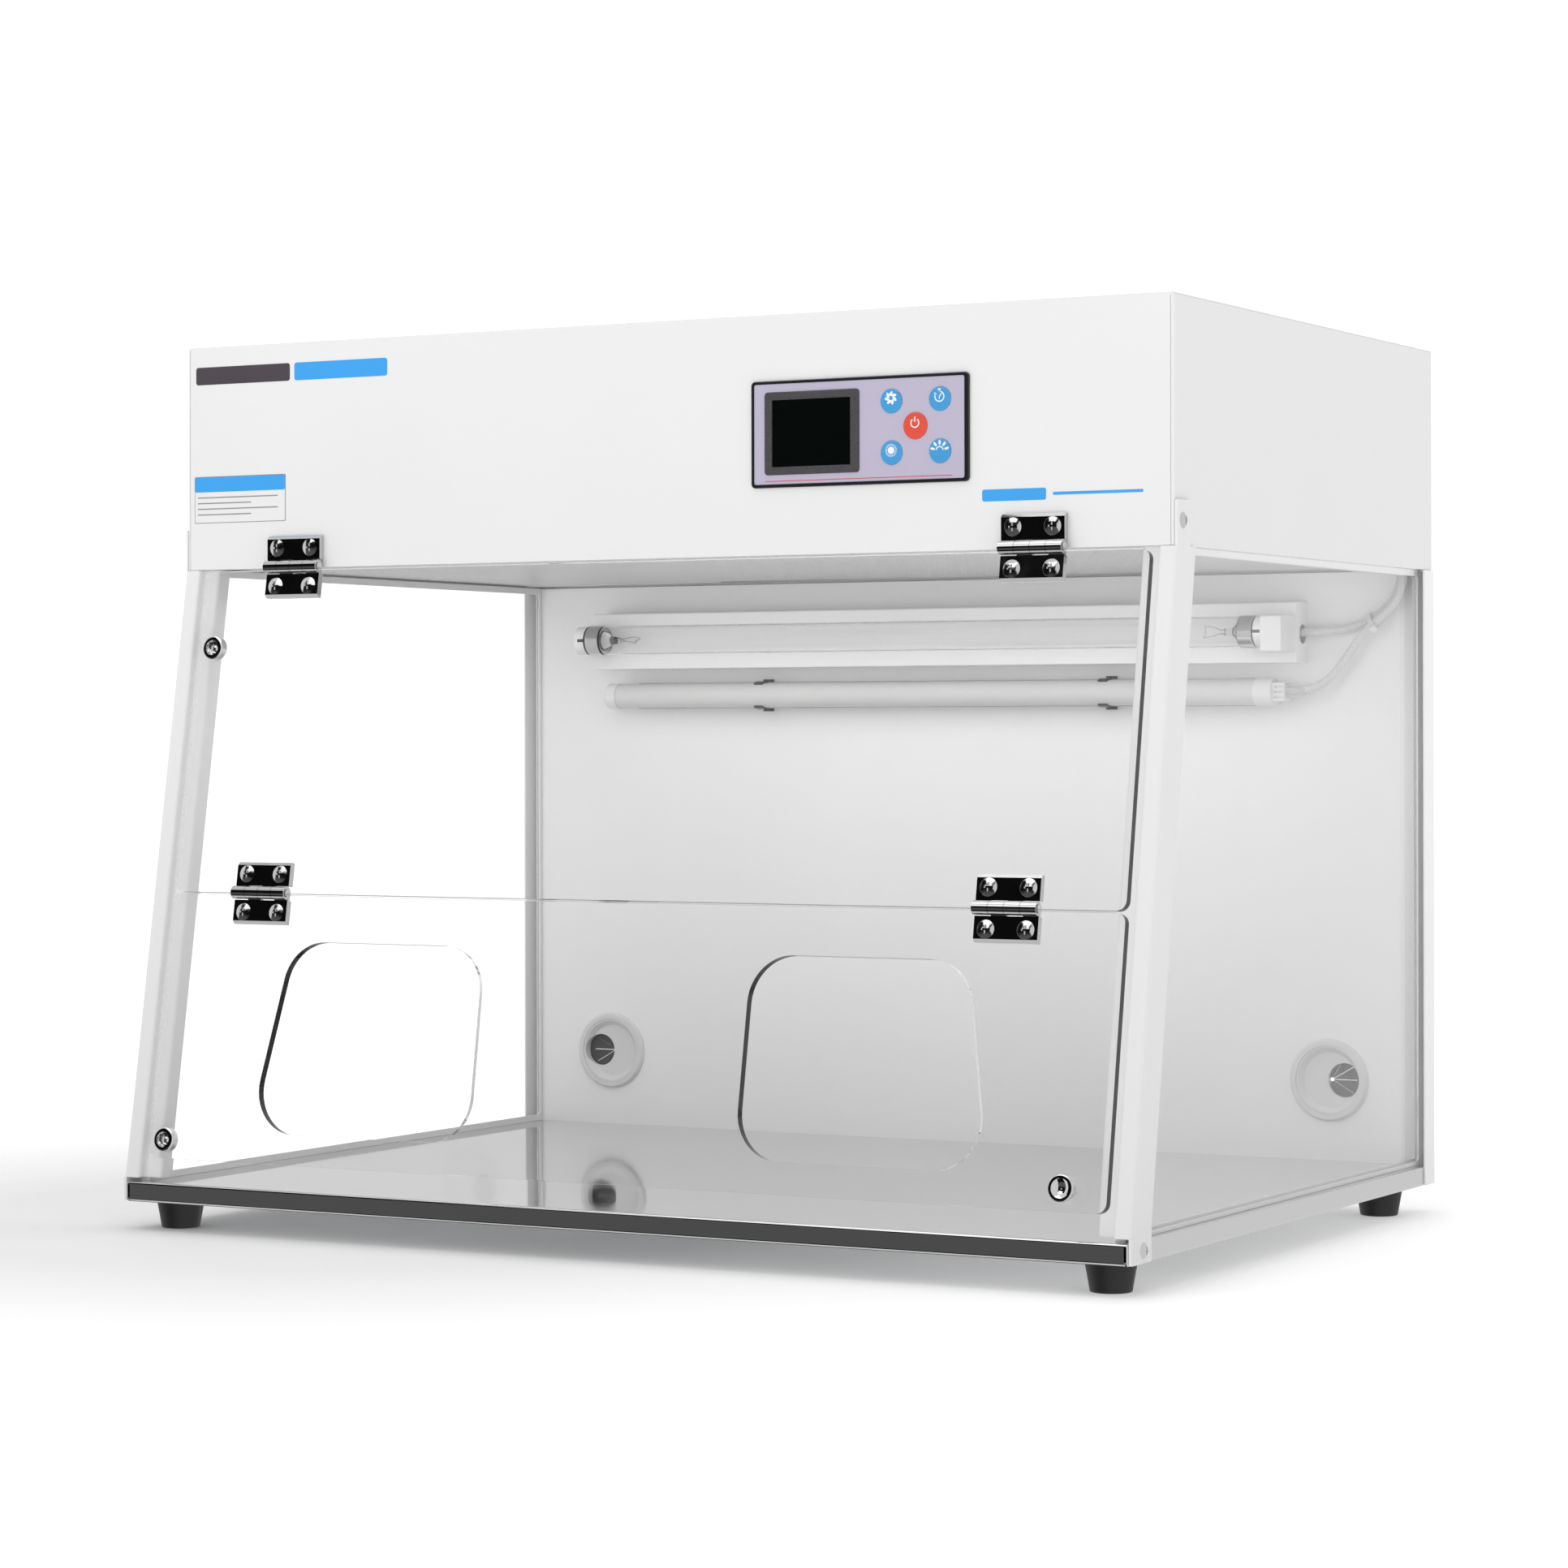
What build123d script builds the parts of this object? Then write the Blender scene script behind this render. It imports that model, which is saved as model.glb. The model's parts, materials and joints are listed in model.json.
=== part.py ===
from build123d import *
import os
from math import atan2, cos, degrees, hypot, radians, tan

# Desktop clean-air bench: filter head, raked two-part clear door, steel base tray.
# Datum while modelling: X = 0 on the centre plane, Y = 0 on the front face of the head,
# Z = 0 on the underside of the base tray. Everything is shifted at the end so that the
# origin is the bottom centre of the whole object. Millimetres, +Y to the rear, +Z up.

# ---- driving dimensions -------------------------------------------------------------
WIDTH = 800.0                 # over the side flanges of the posts
HEAD_BOTTOM = 461.0
HEAD_TOP = 626.0
HEAD_DEPTH = 484.0
SHEET = 1.5                   # white painted sheet
POST_SHEET = 2.0
HALF = WIDTH / 2 - POST_SHEET - 0.1   # half width of head and tray
TRAY_TOP = 14.4
TRAY_FRONT = -75.0
TRAY_SHEET = 1.2
WALL_FACE = 472.0             # chamber side of the back wall
PAN_REAR = 483.0
FOOT_HEIGHT = 20.5
RAKE = degrees(atan2(-TRAY_FRONT, HEAD_BOTTOM - TRAY_TOP))

PANE = 6.0                    # door panes
PANE_HALF = 381.0
PANE_CORNER = 7.0
UPPER_TOP = 1.5               # distances down the slope from the head's bottom edge
UPPER_END = 240.0
LOWER_TOP = 241.2
LOWER_END = 434.5
FOLD = (UPPER_END + LOWER_TOP) / 2

HINGE_OFFSET = 6.5            # hinge axis in front of the faces it is screwed to
HINGE_X = 298.5
LEAF_WIDTH = 46.5
LEAF_REACH = 22.5             # axis to the free edge of a leaf
LEAF_START = 5.2
LEAF_THICK = 5.0
BARREL_R = 4.7
PIN_R = 2.0
LEAF_SCREW_X = 14.5
LEAF_SCREW_REACH = 13.9

FRAME_FACE = 391.5            # outer face of the side window frames
FRAME_THICK = 7.1
SIDE_PANE = 5.0

PANEL = (83.6, 250.0, 507.0, 580.0)      # control bezel: x0, x1, z0, z1
BUTTON_R = 8.2
BUTTON_TRAVEL = 0.6
STEM_END = 2.6                # rear end of a button's stem
BUTTONS = {
    "fan": (191.9, 562.7),
    "timer": (228.5, 562.9),
    "power": (210.0, 545.4),
    "uv": (192.0, 527.9),
    "light": (228.6, 527.9),
}

GROMMET_X = 316.0
GROMMET_Z = 75.5
GROMMET_HOLE_SHIFT = 11.5

FAN_X = 0.0
FAN_Y = 250.0

SLOPE = Pos(0, 0, HEAD_BOTTOM) * Rot(-RAKE, 0, 0)
HEAD_AXIS_Z = HEAD_BOTTOM + HINGE_OFFSET * tan(radians(RAKE) / 2)
SLOPE_AXIS = HINGE_OFFSET * tan(radians(RAKE) / 2)


# ---- small shape helpers ------------------------------------------------------------
def block(x, y, z):
    """Box between the limits given as pairs."""
    size = [b - a for a, b in (x, y, z)]
    centre = [(a + b) / 2 for a, b in (x, y, z)]
    return Pos(*centre) * Box(*size)


def rod(start, end, radius):
    """Cylinder from start to end."""
    a, b = Vector(*start), Vector(*end)
    plane = Plane(origin=a, z_dir=b - a)
    return plane * Cylinder(radius, (b - a).length, align=(Align.CENTER, Align.CENTER, Align.MIN))


def taper(start, end, r_start, r_end):
    """Cone frustum from start to end."""
    a, b = Vector(*start), Vector(*end)
    plane = Plane(origin=a, z_dir=b - a)
    lift = (Align.CENTER, Align.CENTER, Align.MIN)
    return plane * Cone(r_start, r_end, (b - a).length, align=lift)


def plate_xz(x, y, z, radius):
    """Plate with rounded corners, flat in XZ and thick along Y."""
    face = RectangleRounded(x[1] - x[0], z[1] - z[0], radius)
    centre = ((x[0] + x[1]) / 2, (y[0] + y[1]) / 2, (z[0] + z[1]) / 2)
    return Pos(*centre) * Rot(90, 0, 0) * extrude(face, (y[1] - y[0]) / 2, both=True)


def outline_yz(points, x):
    """Prism between two x limits from an outline of (y, z) points."""
    face = make_face(Polyline(*[(0, y, z) for y, z in points], close=True))
    solid = extrude(face, x[1] - x[0], dir=(1, 0, 0))
    return Pos(x[0], 0, 0) * solid


def inset_yz(points, gaps):
    """Outline moved inwards, each side by its own gap; sides run point to next point."""
    lines = []
    count = len(points)
    for i, gap in enumerate(gaps):
        (y0, z0), (y1, z1) = points[i], points[(i + 1) % count]
        length = hypot(y1 - y0, z1 - z0)
        ny, nz = -(z1 - z0) / length, (y1 - y0) / length
        lines.append((ny, nz, ny * y0 + nz * z0 + gap))
    moved = []
    for i in range(count):
        a, b = lines[i - 1], lines[i]
        det = a[0] * b[1] - a[1] * b[0]
        moved.append(((a[2] * b[1] - a[1] * b[2]) / det, (a[0] * b[2] - a[2] * b[0]) / det))
    return moved


def mirrored(shape):
    return mirror(shape, about=Plane.YZ)


def both_sides(shape):
    """The shape and its mirror image as a group of separate solids."""
    return group([shape, mirrored(shape)])


def group(shapes):
    return Compound(children=[s for shape in shapes for s in shape.solids()])


def cross_screw(radius, proud, shank_r, length, sunk=0.0):
    """Cross-recess screw: face plane at z = 0, head proud towards +Z, shank down -Z."""
    dome_r = (radius ** 2 + proud ** 2) / (2 * proud)
    slab = block((-radius, radius), (-radius, radius), (0, proud))
    dome = Pos(0, 0, proud - dome_r) * Sphere(dome_r) & slab
    body = dome + rod((0, 0, 0), (0, 0, -length), shank_r)
    if sunk:
        body += taper((0, 0, 0), (0, 0, -sunk), radius, shank_r)
    long, narrow = radius * 0.95, radius * 0.22
    recess = Box(long, narrow, 2.4) + Box(narrow, long, 2.4)
    return body - Pos(0, 0, proud) * recess


def dome_nut(radius, height):
    """Hexagonal cap nut from z = 0 towards -Z."""
    hexagon = Pos(0, 0, -height * 0.55) * extrude(RegularPolygon(radius, 6), height * 0.55)
    cap = Pos(0, 0, -height * 0.5) * Sphere(radius * 0.8) & block(
        (-radius, radius), (-radius, radius), (-height, -height * 0.4)
    )
    return hexagon + cap


FACE_FRONT = Rot(90, 0, 0)    # turns +Z towards -Y, so a screw faces the user


# ---- base ---------------------------------------------------------------------------
def base_tray():
    outer = block((-HALF, HALF), (TRAY_FRONT, WALL_FACE - 0.2), (0, TRAY_TOP))
    outer = fillet(outer.edges().filter_by(Axis.X).group_by(Axis.Z)[-1].sort_by(Axis.Y)[0], 1.8)
    outer = fillet(outer.edges().filter_by(Axis.Y).group_by(Axis.Z)[-1], 1.8)
    outer = fillet(outer.edges().filter_by(Axis.Y).group_by(Axis.Z)[0], 2.5)
    wall = TRAY_SHEET
    inside = block((-HALF + wall, HALF - wall), (TRAY_FRONT + wall, WALL_FACE), (-1, TRAY_TOP - wall))
    returns = block((-HALF + wall, HALF - wall), (TRAY_FRONT + wall, WALL_FACE - 0.2), (0, wall))
    returns -= block((-HALF + 13, HALF - 13), (TRAY_FRONT + 13, WALL_FACE), (-1, wall + 1))
    tray = outer - inside + returns
    seam = block((HALF - 3.1, HALF - 1.3), (TRAY_FRONT - 1, TRAY_FRONT + wall + 0.3), (-1, TRAY_TOP - 1.9))
    tray = tray - seam - mirrored(seam)
    screw_hole = rod((HALF - 5, -55.5, 8.6), (HALF + 5, -55.5, 8.6), 2.2)
    return tray - screw_hole - mirrored(screw_hole)


def base_underframe():
    """Bottom sheet on the tray's returns, with ribs that carry the worktop."""
    margin = 1.6
    bottom = (TRAY_SHEET + 0.05, TRAY_SHEET + 1.25)
    sheet = block((-HALF + margin, HALF - margin), (TRAY_FRONT + margin, WALL_FACE - 1), bottom)
    for rib_y in (-10, 140, 290, 420):
        rib = block((-HALF + 30, HALF - 30), (rib_y, rib_y + 25), (bottom[1], TRAY_TOP - TRAY_SHEET - 0.1))
        hollow_z = (bottom[1], TRAY_TOP - TRAY_SHEET - 1.3)
        slot = block((-HALF + 29, HALF - 29), (rib_y + 1.2, rib_y + 23.8), hollow_z)
        sheet += rib - slot
    for x, y in foot_places():
        sheet -= rod((x, y, -1), (x, y, 8), 2.7)
    return sheet


def foot_places():
    return [(side * 372.0, y) for side in (-1, 1) for y in (-44.0, 438.0)]


def rubber_feet():
    foot = taper((0, 0, -FOOT_HEIGHT), (0, 0, -0.05), 13.8, 17.5)
    foot = fillet(foot.edges().sort_by(Axis.Z)[0], 1.2)
    foot -= rod((0, 0, -FOOT_HEIGHT - 1), (0, 0, -10), 5.4)
    foot -= rod((0, 0, -11), (0, 0, 1), 2.7)
    return group([Pos(x, y, 0) * foot for x, y in foot_places()])


def foot_screws():
    screw = Pos(0, 0, -10.05) * Rot(180, 0, 0) * cross_screw(4.8, 2.6, 2.5, 17.0)
    nut = extrude(RegularPolygon(4.6, 6), -4.0) - rod((0, 0, 1), (0, 0, -5), 2.52)
    nut = Pos(0, 0, 2.55) * Rot(180, 0, 0) * nut
    return group([Pos(x, y, 0) * piece for x, y in foot_places() for piece in (screw, nut)])


# ---- posts and side windows ---------------------------------------------------------
def post(front=13.0, step=7.3, ledge=27.0, lip=21.0):
    """Right-hand raked post, folded from one sheet; mirrored for the left."""
    t = POST_SHEET
    outer = WIDTH / 2
    path = [
        (outer, 12.0), (outer, 0.0), (outer - front, 0.0), (outer - front, step),
        (outer - ledge, step), (outer - ledge, lip),
    ]
    fold = FilletPolyline(*path, radius=2.6)
    section = make_face(offset(fold, amount=t, side=Side.RIGHT, closed=True))
    strip = SLOPE * Pos(0, 0, -470) * extrude(section, 520)
    keep = block((300, outer), (-100, 60), (TRAY_TOP + 3.1, HEAD_BOTTOM - 0.3))
    strip = strip & keep

    def slope_y(z, depth):
        return (z - HEAD_BOTTOM) * tan(radians(RAKE)) + depth / cos(radians(RAKE))

    low, high = TRAY_TOP + 3.1, HEAD_BOTTOM - 0.3
    flange = [
        (slope_y(high, 6.0), high), (slope_y(low, 6.0), low), (slope_y(low, 30.0), low),
        (slope_y(high, 30.0), high),
    ]
    body = strip + outline_yz(flange, (outer - t, outer))
    top_tab = plate_yz((0.6, 22.0), (HEAD_BOTTOM - 14.0, 491.0), (outer - t, outer), 1.6)
    foot_tab = plate_yz((TRAY_FRONT + 0.6, -43.0), (0.4, 36.0), (outer - t, outer), 1.6)
    cut_under = outline_yz(
        [(slope_y(70, -60), 70), (slope_y(low, -60), low), (slope_y(low, 3.0), low), (slope_y(70, 3.0), 70)],
        (outer - t - 1, outer + 1),
    )
    cut_over = outline_yz(
        [(-60, high), (-60, 430), (slope_y(430, 3.0), 430), (slope_y(high, 3.0), high)],
        (outer - t - 1, outer + 1),
    )
    body = body + (top_tab - cut_over) + (foot_tab - cut_under)
    for y, z in post_screw_places():
        body -= rod((outer - 5, y, z), (outer + 5, y, z), 2.2)
    return body


def plate_yz(y, z, x, radius):
    """Plate with rounded corners, flat in YZ and thick along X."""
    face = RectangleRounded(y[1] - y[0], z[1] - z[0], radius)
    centre = ((x[0] + x[1]) / 2, (y[0] + y[1]) / 2, (z[0] + z[1]) / 2)
    return Pos(*centre) * Rot(0, 0, 90) * Rot(90, 0, 0) * extrude(face, (x[1] - x[0]) / 2, both=True)


def post_screw_places():
    return [(9.6, 477.4), (-55.5, 8.6)]


def post_screws():
    screw = Rot(0, 90, 0) * cross_screw(5.5, 2.4, 2.0, 7.5)
    return both_sides(group([Pos(WIDTH / 2, y, z) * screw for y, z in post_screw_places()]))


def window_outline():
    """Outline of a side window frame: raked at the front, square at the rear."""
    gap = 0.1
    low, high = TRAY_TOP + gap, HEAD_BOTTOM - gap
    front_depth = 10.0

    def front_y(z):
        return (z - HEAD_BOTTOM) * tan(radians(RAKE)) + front_depth / cos(radians(RAKE))

    rear = WALL_FACE - 0.2
    return [(front_y(low), low), (rear, low), (rear, high), (front_y(high), high)]


def rounded_prism(points, x, radius):
    solid = outline_yz(points, x)
    return fillet(solid.edges().filter_by(Axis.X), radius)


def side_frame():
    """White window frame of the right side: outer lip, groove for the pane, inner lip."""
    outline = window_outline()
    inner_face = FRAME_FACE - FRAME_THICK
    frame = outline_yz(outline, (inner_face, FRAME_FACE))
    frame -= rounded_prism(inset_yz(outline, (3.2, 2.0, 4.7, 9.0)), (inner_face + 1, FRAME_FACE + 1), 3.0)
    frame -= rounded_prism(inset_yz(outline, (5.0, 4.0, 5.0, 9.0)), (inner_face - 1, FRAME_FACE), 3.0)
    groove = inset_yz(outline, (1.0, 1.0, 1.0, 1.0))
    return frame - outline_yz(groove, (FRAME_FACE - 6.1, FRAME_FACE - 1.0))


def side_pane():
    pane = inset_yz(window_outline(), (1.1, 1.1, 1.1, 1.1))
    outer = FRAME_FACE - 1.05
    return outline_yz(pane, (outer - SIDE_PANE, outer))


# ---- back wall ----------------------------------------------------------------------
def back_panel():
    """Folded pan: chamber wall, returns to the rear, and side flanges that turn forward."""
    t = SHEET
    wall_half = FRAME_FACE
    low, high = 0.3, HEAD_BOTTOM - 0.4
    flange_out = HALF + 0.1 + 1.2
    wall = block((-wall_half, wall_half), (WALL_FACE, WALL_FACE + t), (low, high))
    side = block((wall_half - t, wall_half), (WALL_FACE, PAN_REAR), (low, high))
    side += block((wall_half - t, flange_out), (PAN_REAR - t, PAN_REAR), (low, high))
    flange = block((flange_out - 1.2, flange_out), (463.0, PAN_REAR), (low, high))
    flange = fillet(flange.edges().filter_by(Axis.X).group_by(Axis.Y)[0], 1.6)
    side += flange
    rim_top = block((-wall_half, wall_half), (WALL_FACE, PAN_REAR), (high - t, high))
    rim_low = block((-wall_half, wall_half), (WALL_FACE, PAN_REAR), (low, low + t))
    pan = wall + side + mirrored(side) + rim_top + rim_low
    for x in (-GROMMET_X, GROMMET_X):
        pan -= rod((x, 460, GROMMET_Z), (x, 480, GROMMET_Z), 28.6)
    for x in (-250, 0, 250):
        pan -= rod((x, 460, 415.0), (x, 480, 415.0), 2.2)
    return pan


# ---- filter head --------------------------------------------------------------------
def head_shell():
    t = SHEET
    shell = block((-HALF, HALF), (0, HEAD_DEPTH), (HEAD_BOTTOM, HEAD_TOP))
    shell = fillet(shell.edges().filter_by(Axis.Z) + shell.edges().group_by(Axis.Z)[-1], 2.0)
    shell -= block((-HALF + t, HALF - t), (t, HEAD_DEPTH - t), (HEAD_BOTTOM + t, HEAD_TOP - t))
    lip = 8.0
    mouth = block((-HALF + lip, HALF - lip), (lip, HEAD_DEPTH - lip), (HEAD_BOTTOM - 1, HEAD_BOTTOM + t + 1))
    shell -= mouth
    seam = block((HALF - 2.6, HALF - 2.2), (-1, 0.7), (HEAD_BOTTOM - 1, HEAD_TOP - 2.2))
    shell = shell - seam - mirrored(seam)
    x0, x1, z0, z1 = PANEL
    shell -= block((x0 + 3, x1 - 3), (-1, t + 1), (z0 + 3, z1 - 3))
    shell -= block((FAN_X - 145, FAN_X + 145), (FAN_Y - 120, FAN_Y + 120), (HEAD_TOP - 5, HEAD_TOP + 1))
    shell -= block((106.3, 133.7), (HEAD_DEPTH - 5, HEAD_DEPTH + 1), (549.8, 569.2))
    y, z = post_screw_places()[0]
    for side in (-1, 1):
        shell -= rod((side * (HALF - 5), y, z), (side * (HALF + 5), y, z), 2.2)
        for dx in (-LEAF_SCREW_X, LEAF_SCREW_X):
            place = side * HINGE_X + dx
            up = HEAD_AXIS_Z + LEAF_SCREW_REACH
            shell -= rod((place, -1, up), (place, 4, up), 2.15)
    return shell


def prefilter_grille():
    """Clip-on grille over the air intake in the top of the head."""
    half_x, half_y = 160.0, 135.0
    plate = block((-half_x, half_x), (FAN_Y - half_y, FAN_Y + half_y), (HEAD_TOP + 0.05, HEAD_TOP + 4.0))
    plate = fillet(plate.edges().filter_by(Axis.Z), 8.0)
    plate = chamfer(plate.edges().group_by(Axis.Z)[-1], 1.2)
    skirt = block((-144.5, 144.5), (FAN_Y - 119.5, FAN_Y + 119.5), (HEAD_TOP - 4.0, HEAD_TOP + 0.2))
    skirt -= block((-142.5, 142.5), (FAN_Y - 117.5, FAN_Y + 117.5), (HEAD_TOP - 5.0, HEAD_TOP + 1.0))
    plate += skirt
    columns, rows = 6, 14
    pitch_x, pitch_y = 46.0, 16.0
    for i in range(columns):
        for j in range(rows):
            x = (i - (columns - 1) / 2) * pitch_x
            y = FAN_Y + (j - (rows - 1) / 2) * pitch_y
            slot = Pos(x, y, HEAD_TOP) * extrude(SlotOverall(38.0, 7.0), 8.0, both=True)
            plate -= slot
    return plate


def prefilter():
    return block((-141, 141), (FAN_Y - 116, FAN_Y + 116), (HEAD_TOP - 16.4, HEAD_TOP - 4.2))


def diffuser_plate():
    low = HEAD_BOTTOM + SHEET + 0.05
    plate = block((-HALF + 1.7, HALF - 1.7), (1.7, HEAD_DEPTH - 1.7), (low, low + 1.0))
    return plate - block((370, HALF), (452, HEAD_DEPTH), (low - 1, low + 2))


FILTER_BOTTOM = HEAD_BOTTOM + 3.0
FILTER_TOP = 505.0


def hepa_frame():
    wall = 14.0
    frame = block((-366, 366), (8, 476), (FILTER_BOTTOM, FILTER_TOP))
    inside = block((-366 + wall, 366 - wall), (8 + wall, 476 - wall), (FILTER_BOTTOM - 1, FILTER_TOP + 1))
    return frame - inside


def hepa_media():
    """Pleated pack inside the filter frame."""
    pleats, sheet = 44, 6.0
    x0, x1 = -351.9, 351.9
    pitch = (x1 - x0) / pleats
    low, high = FILTER_BOTTOM + 2, FILTER_TOP - 8
    edge = [(x0 + i * pitch / 2, low if i % 2 == 0 else high) for i in range(2 * pleats + 1)]
    outline = edge + [(x, z + sheet) for x, z in reversed(edge)]
    face = make_face(Polyline(*[(x, 0, z) for x, z in outline], close=True))
    return Pos(0, 22.1, 0) * extrude(face, 439.8, dir=(0, 1, 0))


def fan_deck():
    """Deck under the intake with an inlet hole, a filter tray above and the motor bridge below."""
    half_x, half_y = 144.0, 119.0
    floor = (HEAD_TOP - 18.0, HEAD_TOP - 16.5)
    deck = block((-half_x, half_x), (FAN_Y - half_y, FAN_Y + half_y), floor)
    rim = block((-half_x, half_x), (FAN_Y - half_y, FAN_Y + half_y), (floor[0], HEAD_TOP - 4.1))
    inner_x, inner_y = half_x - 1.5, half_y - 1.5
    rim -= block((-inner_x, inner_x), (FAN_Y - inner_y, FAN_Y + inner_y), (floor[0] - 1, HEAD_TOP))
    deck += rim
    deck -= rod((FAN_X, FAN_Y, floor[0] - 1), (FAN_X, FAN_Y, HEAD_TOP), 62.0)
    bridge_z = (FILTER_TOP + 3, FILTER_TOP + 5)
    for x in (-half_x + 8, half_x - 8):
        for y in (FAN_Y - 90, FAN_Y + 90):
            deck += block((x - 5, x + 5), (y - 5, y + 5), (bridge_z[0], floor[1]))
    for y in (FAN_Y - 90, FAN_Y + 90):
        deck += block((-half_x + 3, half_x - 3), (y - 12, y + 12), bridge_z)
    deck += block((-50, 50), (FAN_Y - 90, FAN_Y + 90), bridge_z)
    return deck - rod((FAN_X, FAN_Y, bridge_z[0] - 1), (FAN_X, FAN_Y, bridge_z[1] + 1), 6.0)


MOTOR_TOP = 540.0


def fan_motor():
    base = FILTER_TOP + 5.05
    motor = rod((FAN_X, FAN_Y, base), (FAN_X, FAN_Y, MOTOR_TOP), 44.0)
    motor = chamfer(motor.edges().sort_by(Axis.Z)[-1], 3.0)
    return motor + rod((FAN_X, FAN_Y, MOTOR_TOP - 1), (FAN_X, FAN_Y, 575.0), 5.0)


def fan_impeller():
    """Backward-curved wheel, back plate below and inlet ring above, on the motor shaft."""
    low, high, radius = 543.0, 602.0, 98.0
    centre = (FAN_X, FAN_Y)
    wheel = rod((*centre, low), (*centre, low + 2), radius)
    wheel += rod((*centre, low), (*centre, low + 26), 14.0)
    ring = rod((*centre, high - 2), (*centre, high), radius)
    ring -= rod((*centre, high - 3), (*centre, high + 1), 60.0)
    wheel += ring
    blades = 9
    for i in range(blades):
        blade = Rot(0, 0, i * 360 / blades) * Pos(72, 0, 0) * Rot(0, 0, 48) * Box(52, 2.2, high - low - 2)
        wheel += Pos(*centre, (low + high) / 2) * blade
    return wheel - rod((*centre, low - 1), (*centre, low + 30), 5.06)


# ---- controls -----------------------------------------------------------------------
def control_bezel():
    x0, x1, z0, z1 = PANEL
    bezel = plate_xz((x0, x1), (-2.2, -0.05), (z0, z1), 3.0)
    bezel = chamfer(bezel.edges().group_by(Axis.Y)[0], 0.5)
    bezel += block((x0 + 3.2, x1 - 3.2), (-0.1, 12), (z0 + 3.2, z1 - 3.2))
    bezel -= plate_xz((x0 + 2.2, x1 - 3.1), (-3, -0.6), (z0 + 2.2, z1 - 2.0), 1.6)
    return bezel - block((x0 + 8, x1 - 8), (-1, 13), (z0 + 7.2, z1 - 7.2))


def control_face():
    x0, x1, z0, z1 = PANEL
    face = plate_xz((x0 + 2.3, x1 - 3.2), (-1.7, -0.65), (z0 + 2.3, z1 - 2.1), 1.5)
    face -= block((100.2, 161.1), (-3, 1), (520.9, 566.9))
    for name, (x, z) in BUTTONS.items():
        face -= rod((x, -3, z), (x, 1, z), button_radius(name) + 0.12)
    return face


def button_radius(name):
    return BUTTON_R + 0.9 if name == "power" else BUTTON_R


def button(name):
    x, z = BUTTONS[name]
    radius = button_radius(name)
    cap = rod((x, -2.5, z), (x, -0.3, z), radius)
    cap = fillet(cap.edges().sort_by(Axis.Y)[0], 0.7)
    flange = block((x - 6, x + 6), (-0.5, 0.5), (z - radius - 1.3, z + radius + 1.3))
    return cap + flange + rod((x, 0, z), (x, STEM_END, z), 2.5)


def lcd_frame():
    frame = plate_xz((94.2, 167.5), (-2.9, -1.75), (515.6, 572.3), 2.5)
    frame = chamfer(frame.edges().group_by(Axis.Y)[0], 0.7)
    window = plate_xz((100.3, 161.0), (-4, 0), (521.0, 566.8), 0.5)
    return frame - window


def lcd_module():
    screen = block((100.55, 160.75), (-2.3, 1.5), (521.25, 566.55))
    return screen + block((96.5, 165.0), (-0.5, 2.6), (517.0, 569.5))


def control_pcb():
    board = block((92.2, 241.4), (6.0, 7.6), (514.8, 572.2))
    switch_front = STEM_END + BUTTON_TRAVEL + 0.2
    for x, z in BUTTONS.values():
        board += block((x - 3, x + 3), (switch_front, 6.1), (z - 3, z + 3))
    board += block((110, 150), (7.5, 11.5), (530, 555))
    return board + block((180, 205), (7.5, 13.5), (520, 532))


def power_supply():
    body = block((218, 344), (438, HEAD_DEPTH - 1.6), (522, 562))
    return fillet(body.edges().filter_by(Axis.X), 1.5)


def uv_ballast():
    body = block((218, 344), (452, HEAD_DEPTH - 1.6), (574, 602))
    return fillet(body.edges().filter_by(Axis.X), 2.0)


def power_inlet():
    """Three-pin appliance inlet on the rear of the head."""
    x, z = 120.0, 559.5
    flange = plate_xz((x - 25, x + 25), (HEAD_DEPTH + 0.05, HEAD_DEPTH + 3.0), (z - 12, z + 12), 3.0)
    inlet = flange + block((x - 13.5, x + 13.5), (HEAD_DEPTH - 22, HEAD_DEPTH + 0.1), (z - 9.5, z + 9.5))
    inlet -= block((x - 12, x + 12), (HEAD_DEPTH - 14, HEAD_DEPTH + 5), (z - 8, z + 8))
    for dx, dz in ((-7, -2), (0, 2), (7, -2)):
        inlet += block((x + dx - 1, x + dx + 1), (HEAD_DEPTH - 16, HEAD_DEPTH - 3), (z + dz - 2, z + dz + 2))
    return inlet


# ---- lamps --------------------------------------------------------------------------
UV_AXIS = (432.0, 415.5)
LED_AXIS = (458.0, 370.0)
BATTEN = ((-318.5, 299.0), (448.0, WALL_FACE - 0.1), (392.0, 438.0))


def lamp_batten():
    x, y, z = BATTEN
    batten = block(x, y, z)
    batten = fillet(batten.edges().filter_by(Axis.X).group_by(Axis.Y)[0], 1.5)
    batten -= block((x[0] + 1.2, x[1] - 1.2), (y[0] + 1.2, y[1] + 1), (z[0] + 1.2, z[1] - 1.2))
    return batten - rod((x[1] - 3, 462.5, 414.0), (x[1] + 3, 462.5, 414.0), 7.5)


def uv_tube():
    y, z = UV_AXIS
    tube = rod((-298.0, y, z), (262.5, y, z), 11.9)
    return tube - rod((-297.0, y, z), (261.5, y, z), 11.0)


def uv_tube_caps():
    y, z = UV_AXIS
    caps = []
    for inner, outer in ((-298.0, -311.0), (262.5, 274.3)):
        way = 1 if outer > inner else -1
        cap = rod((inner + 0.05 * way, y, z), (outer, y, z), 12.6)
        cap = fillet(cap.edges().sort_by(Axis.X)[-1 if way > 0 else 0], 2.0)
        caps.append(cap)
    return group(caps)


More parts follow.
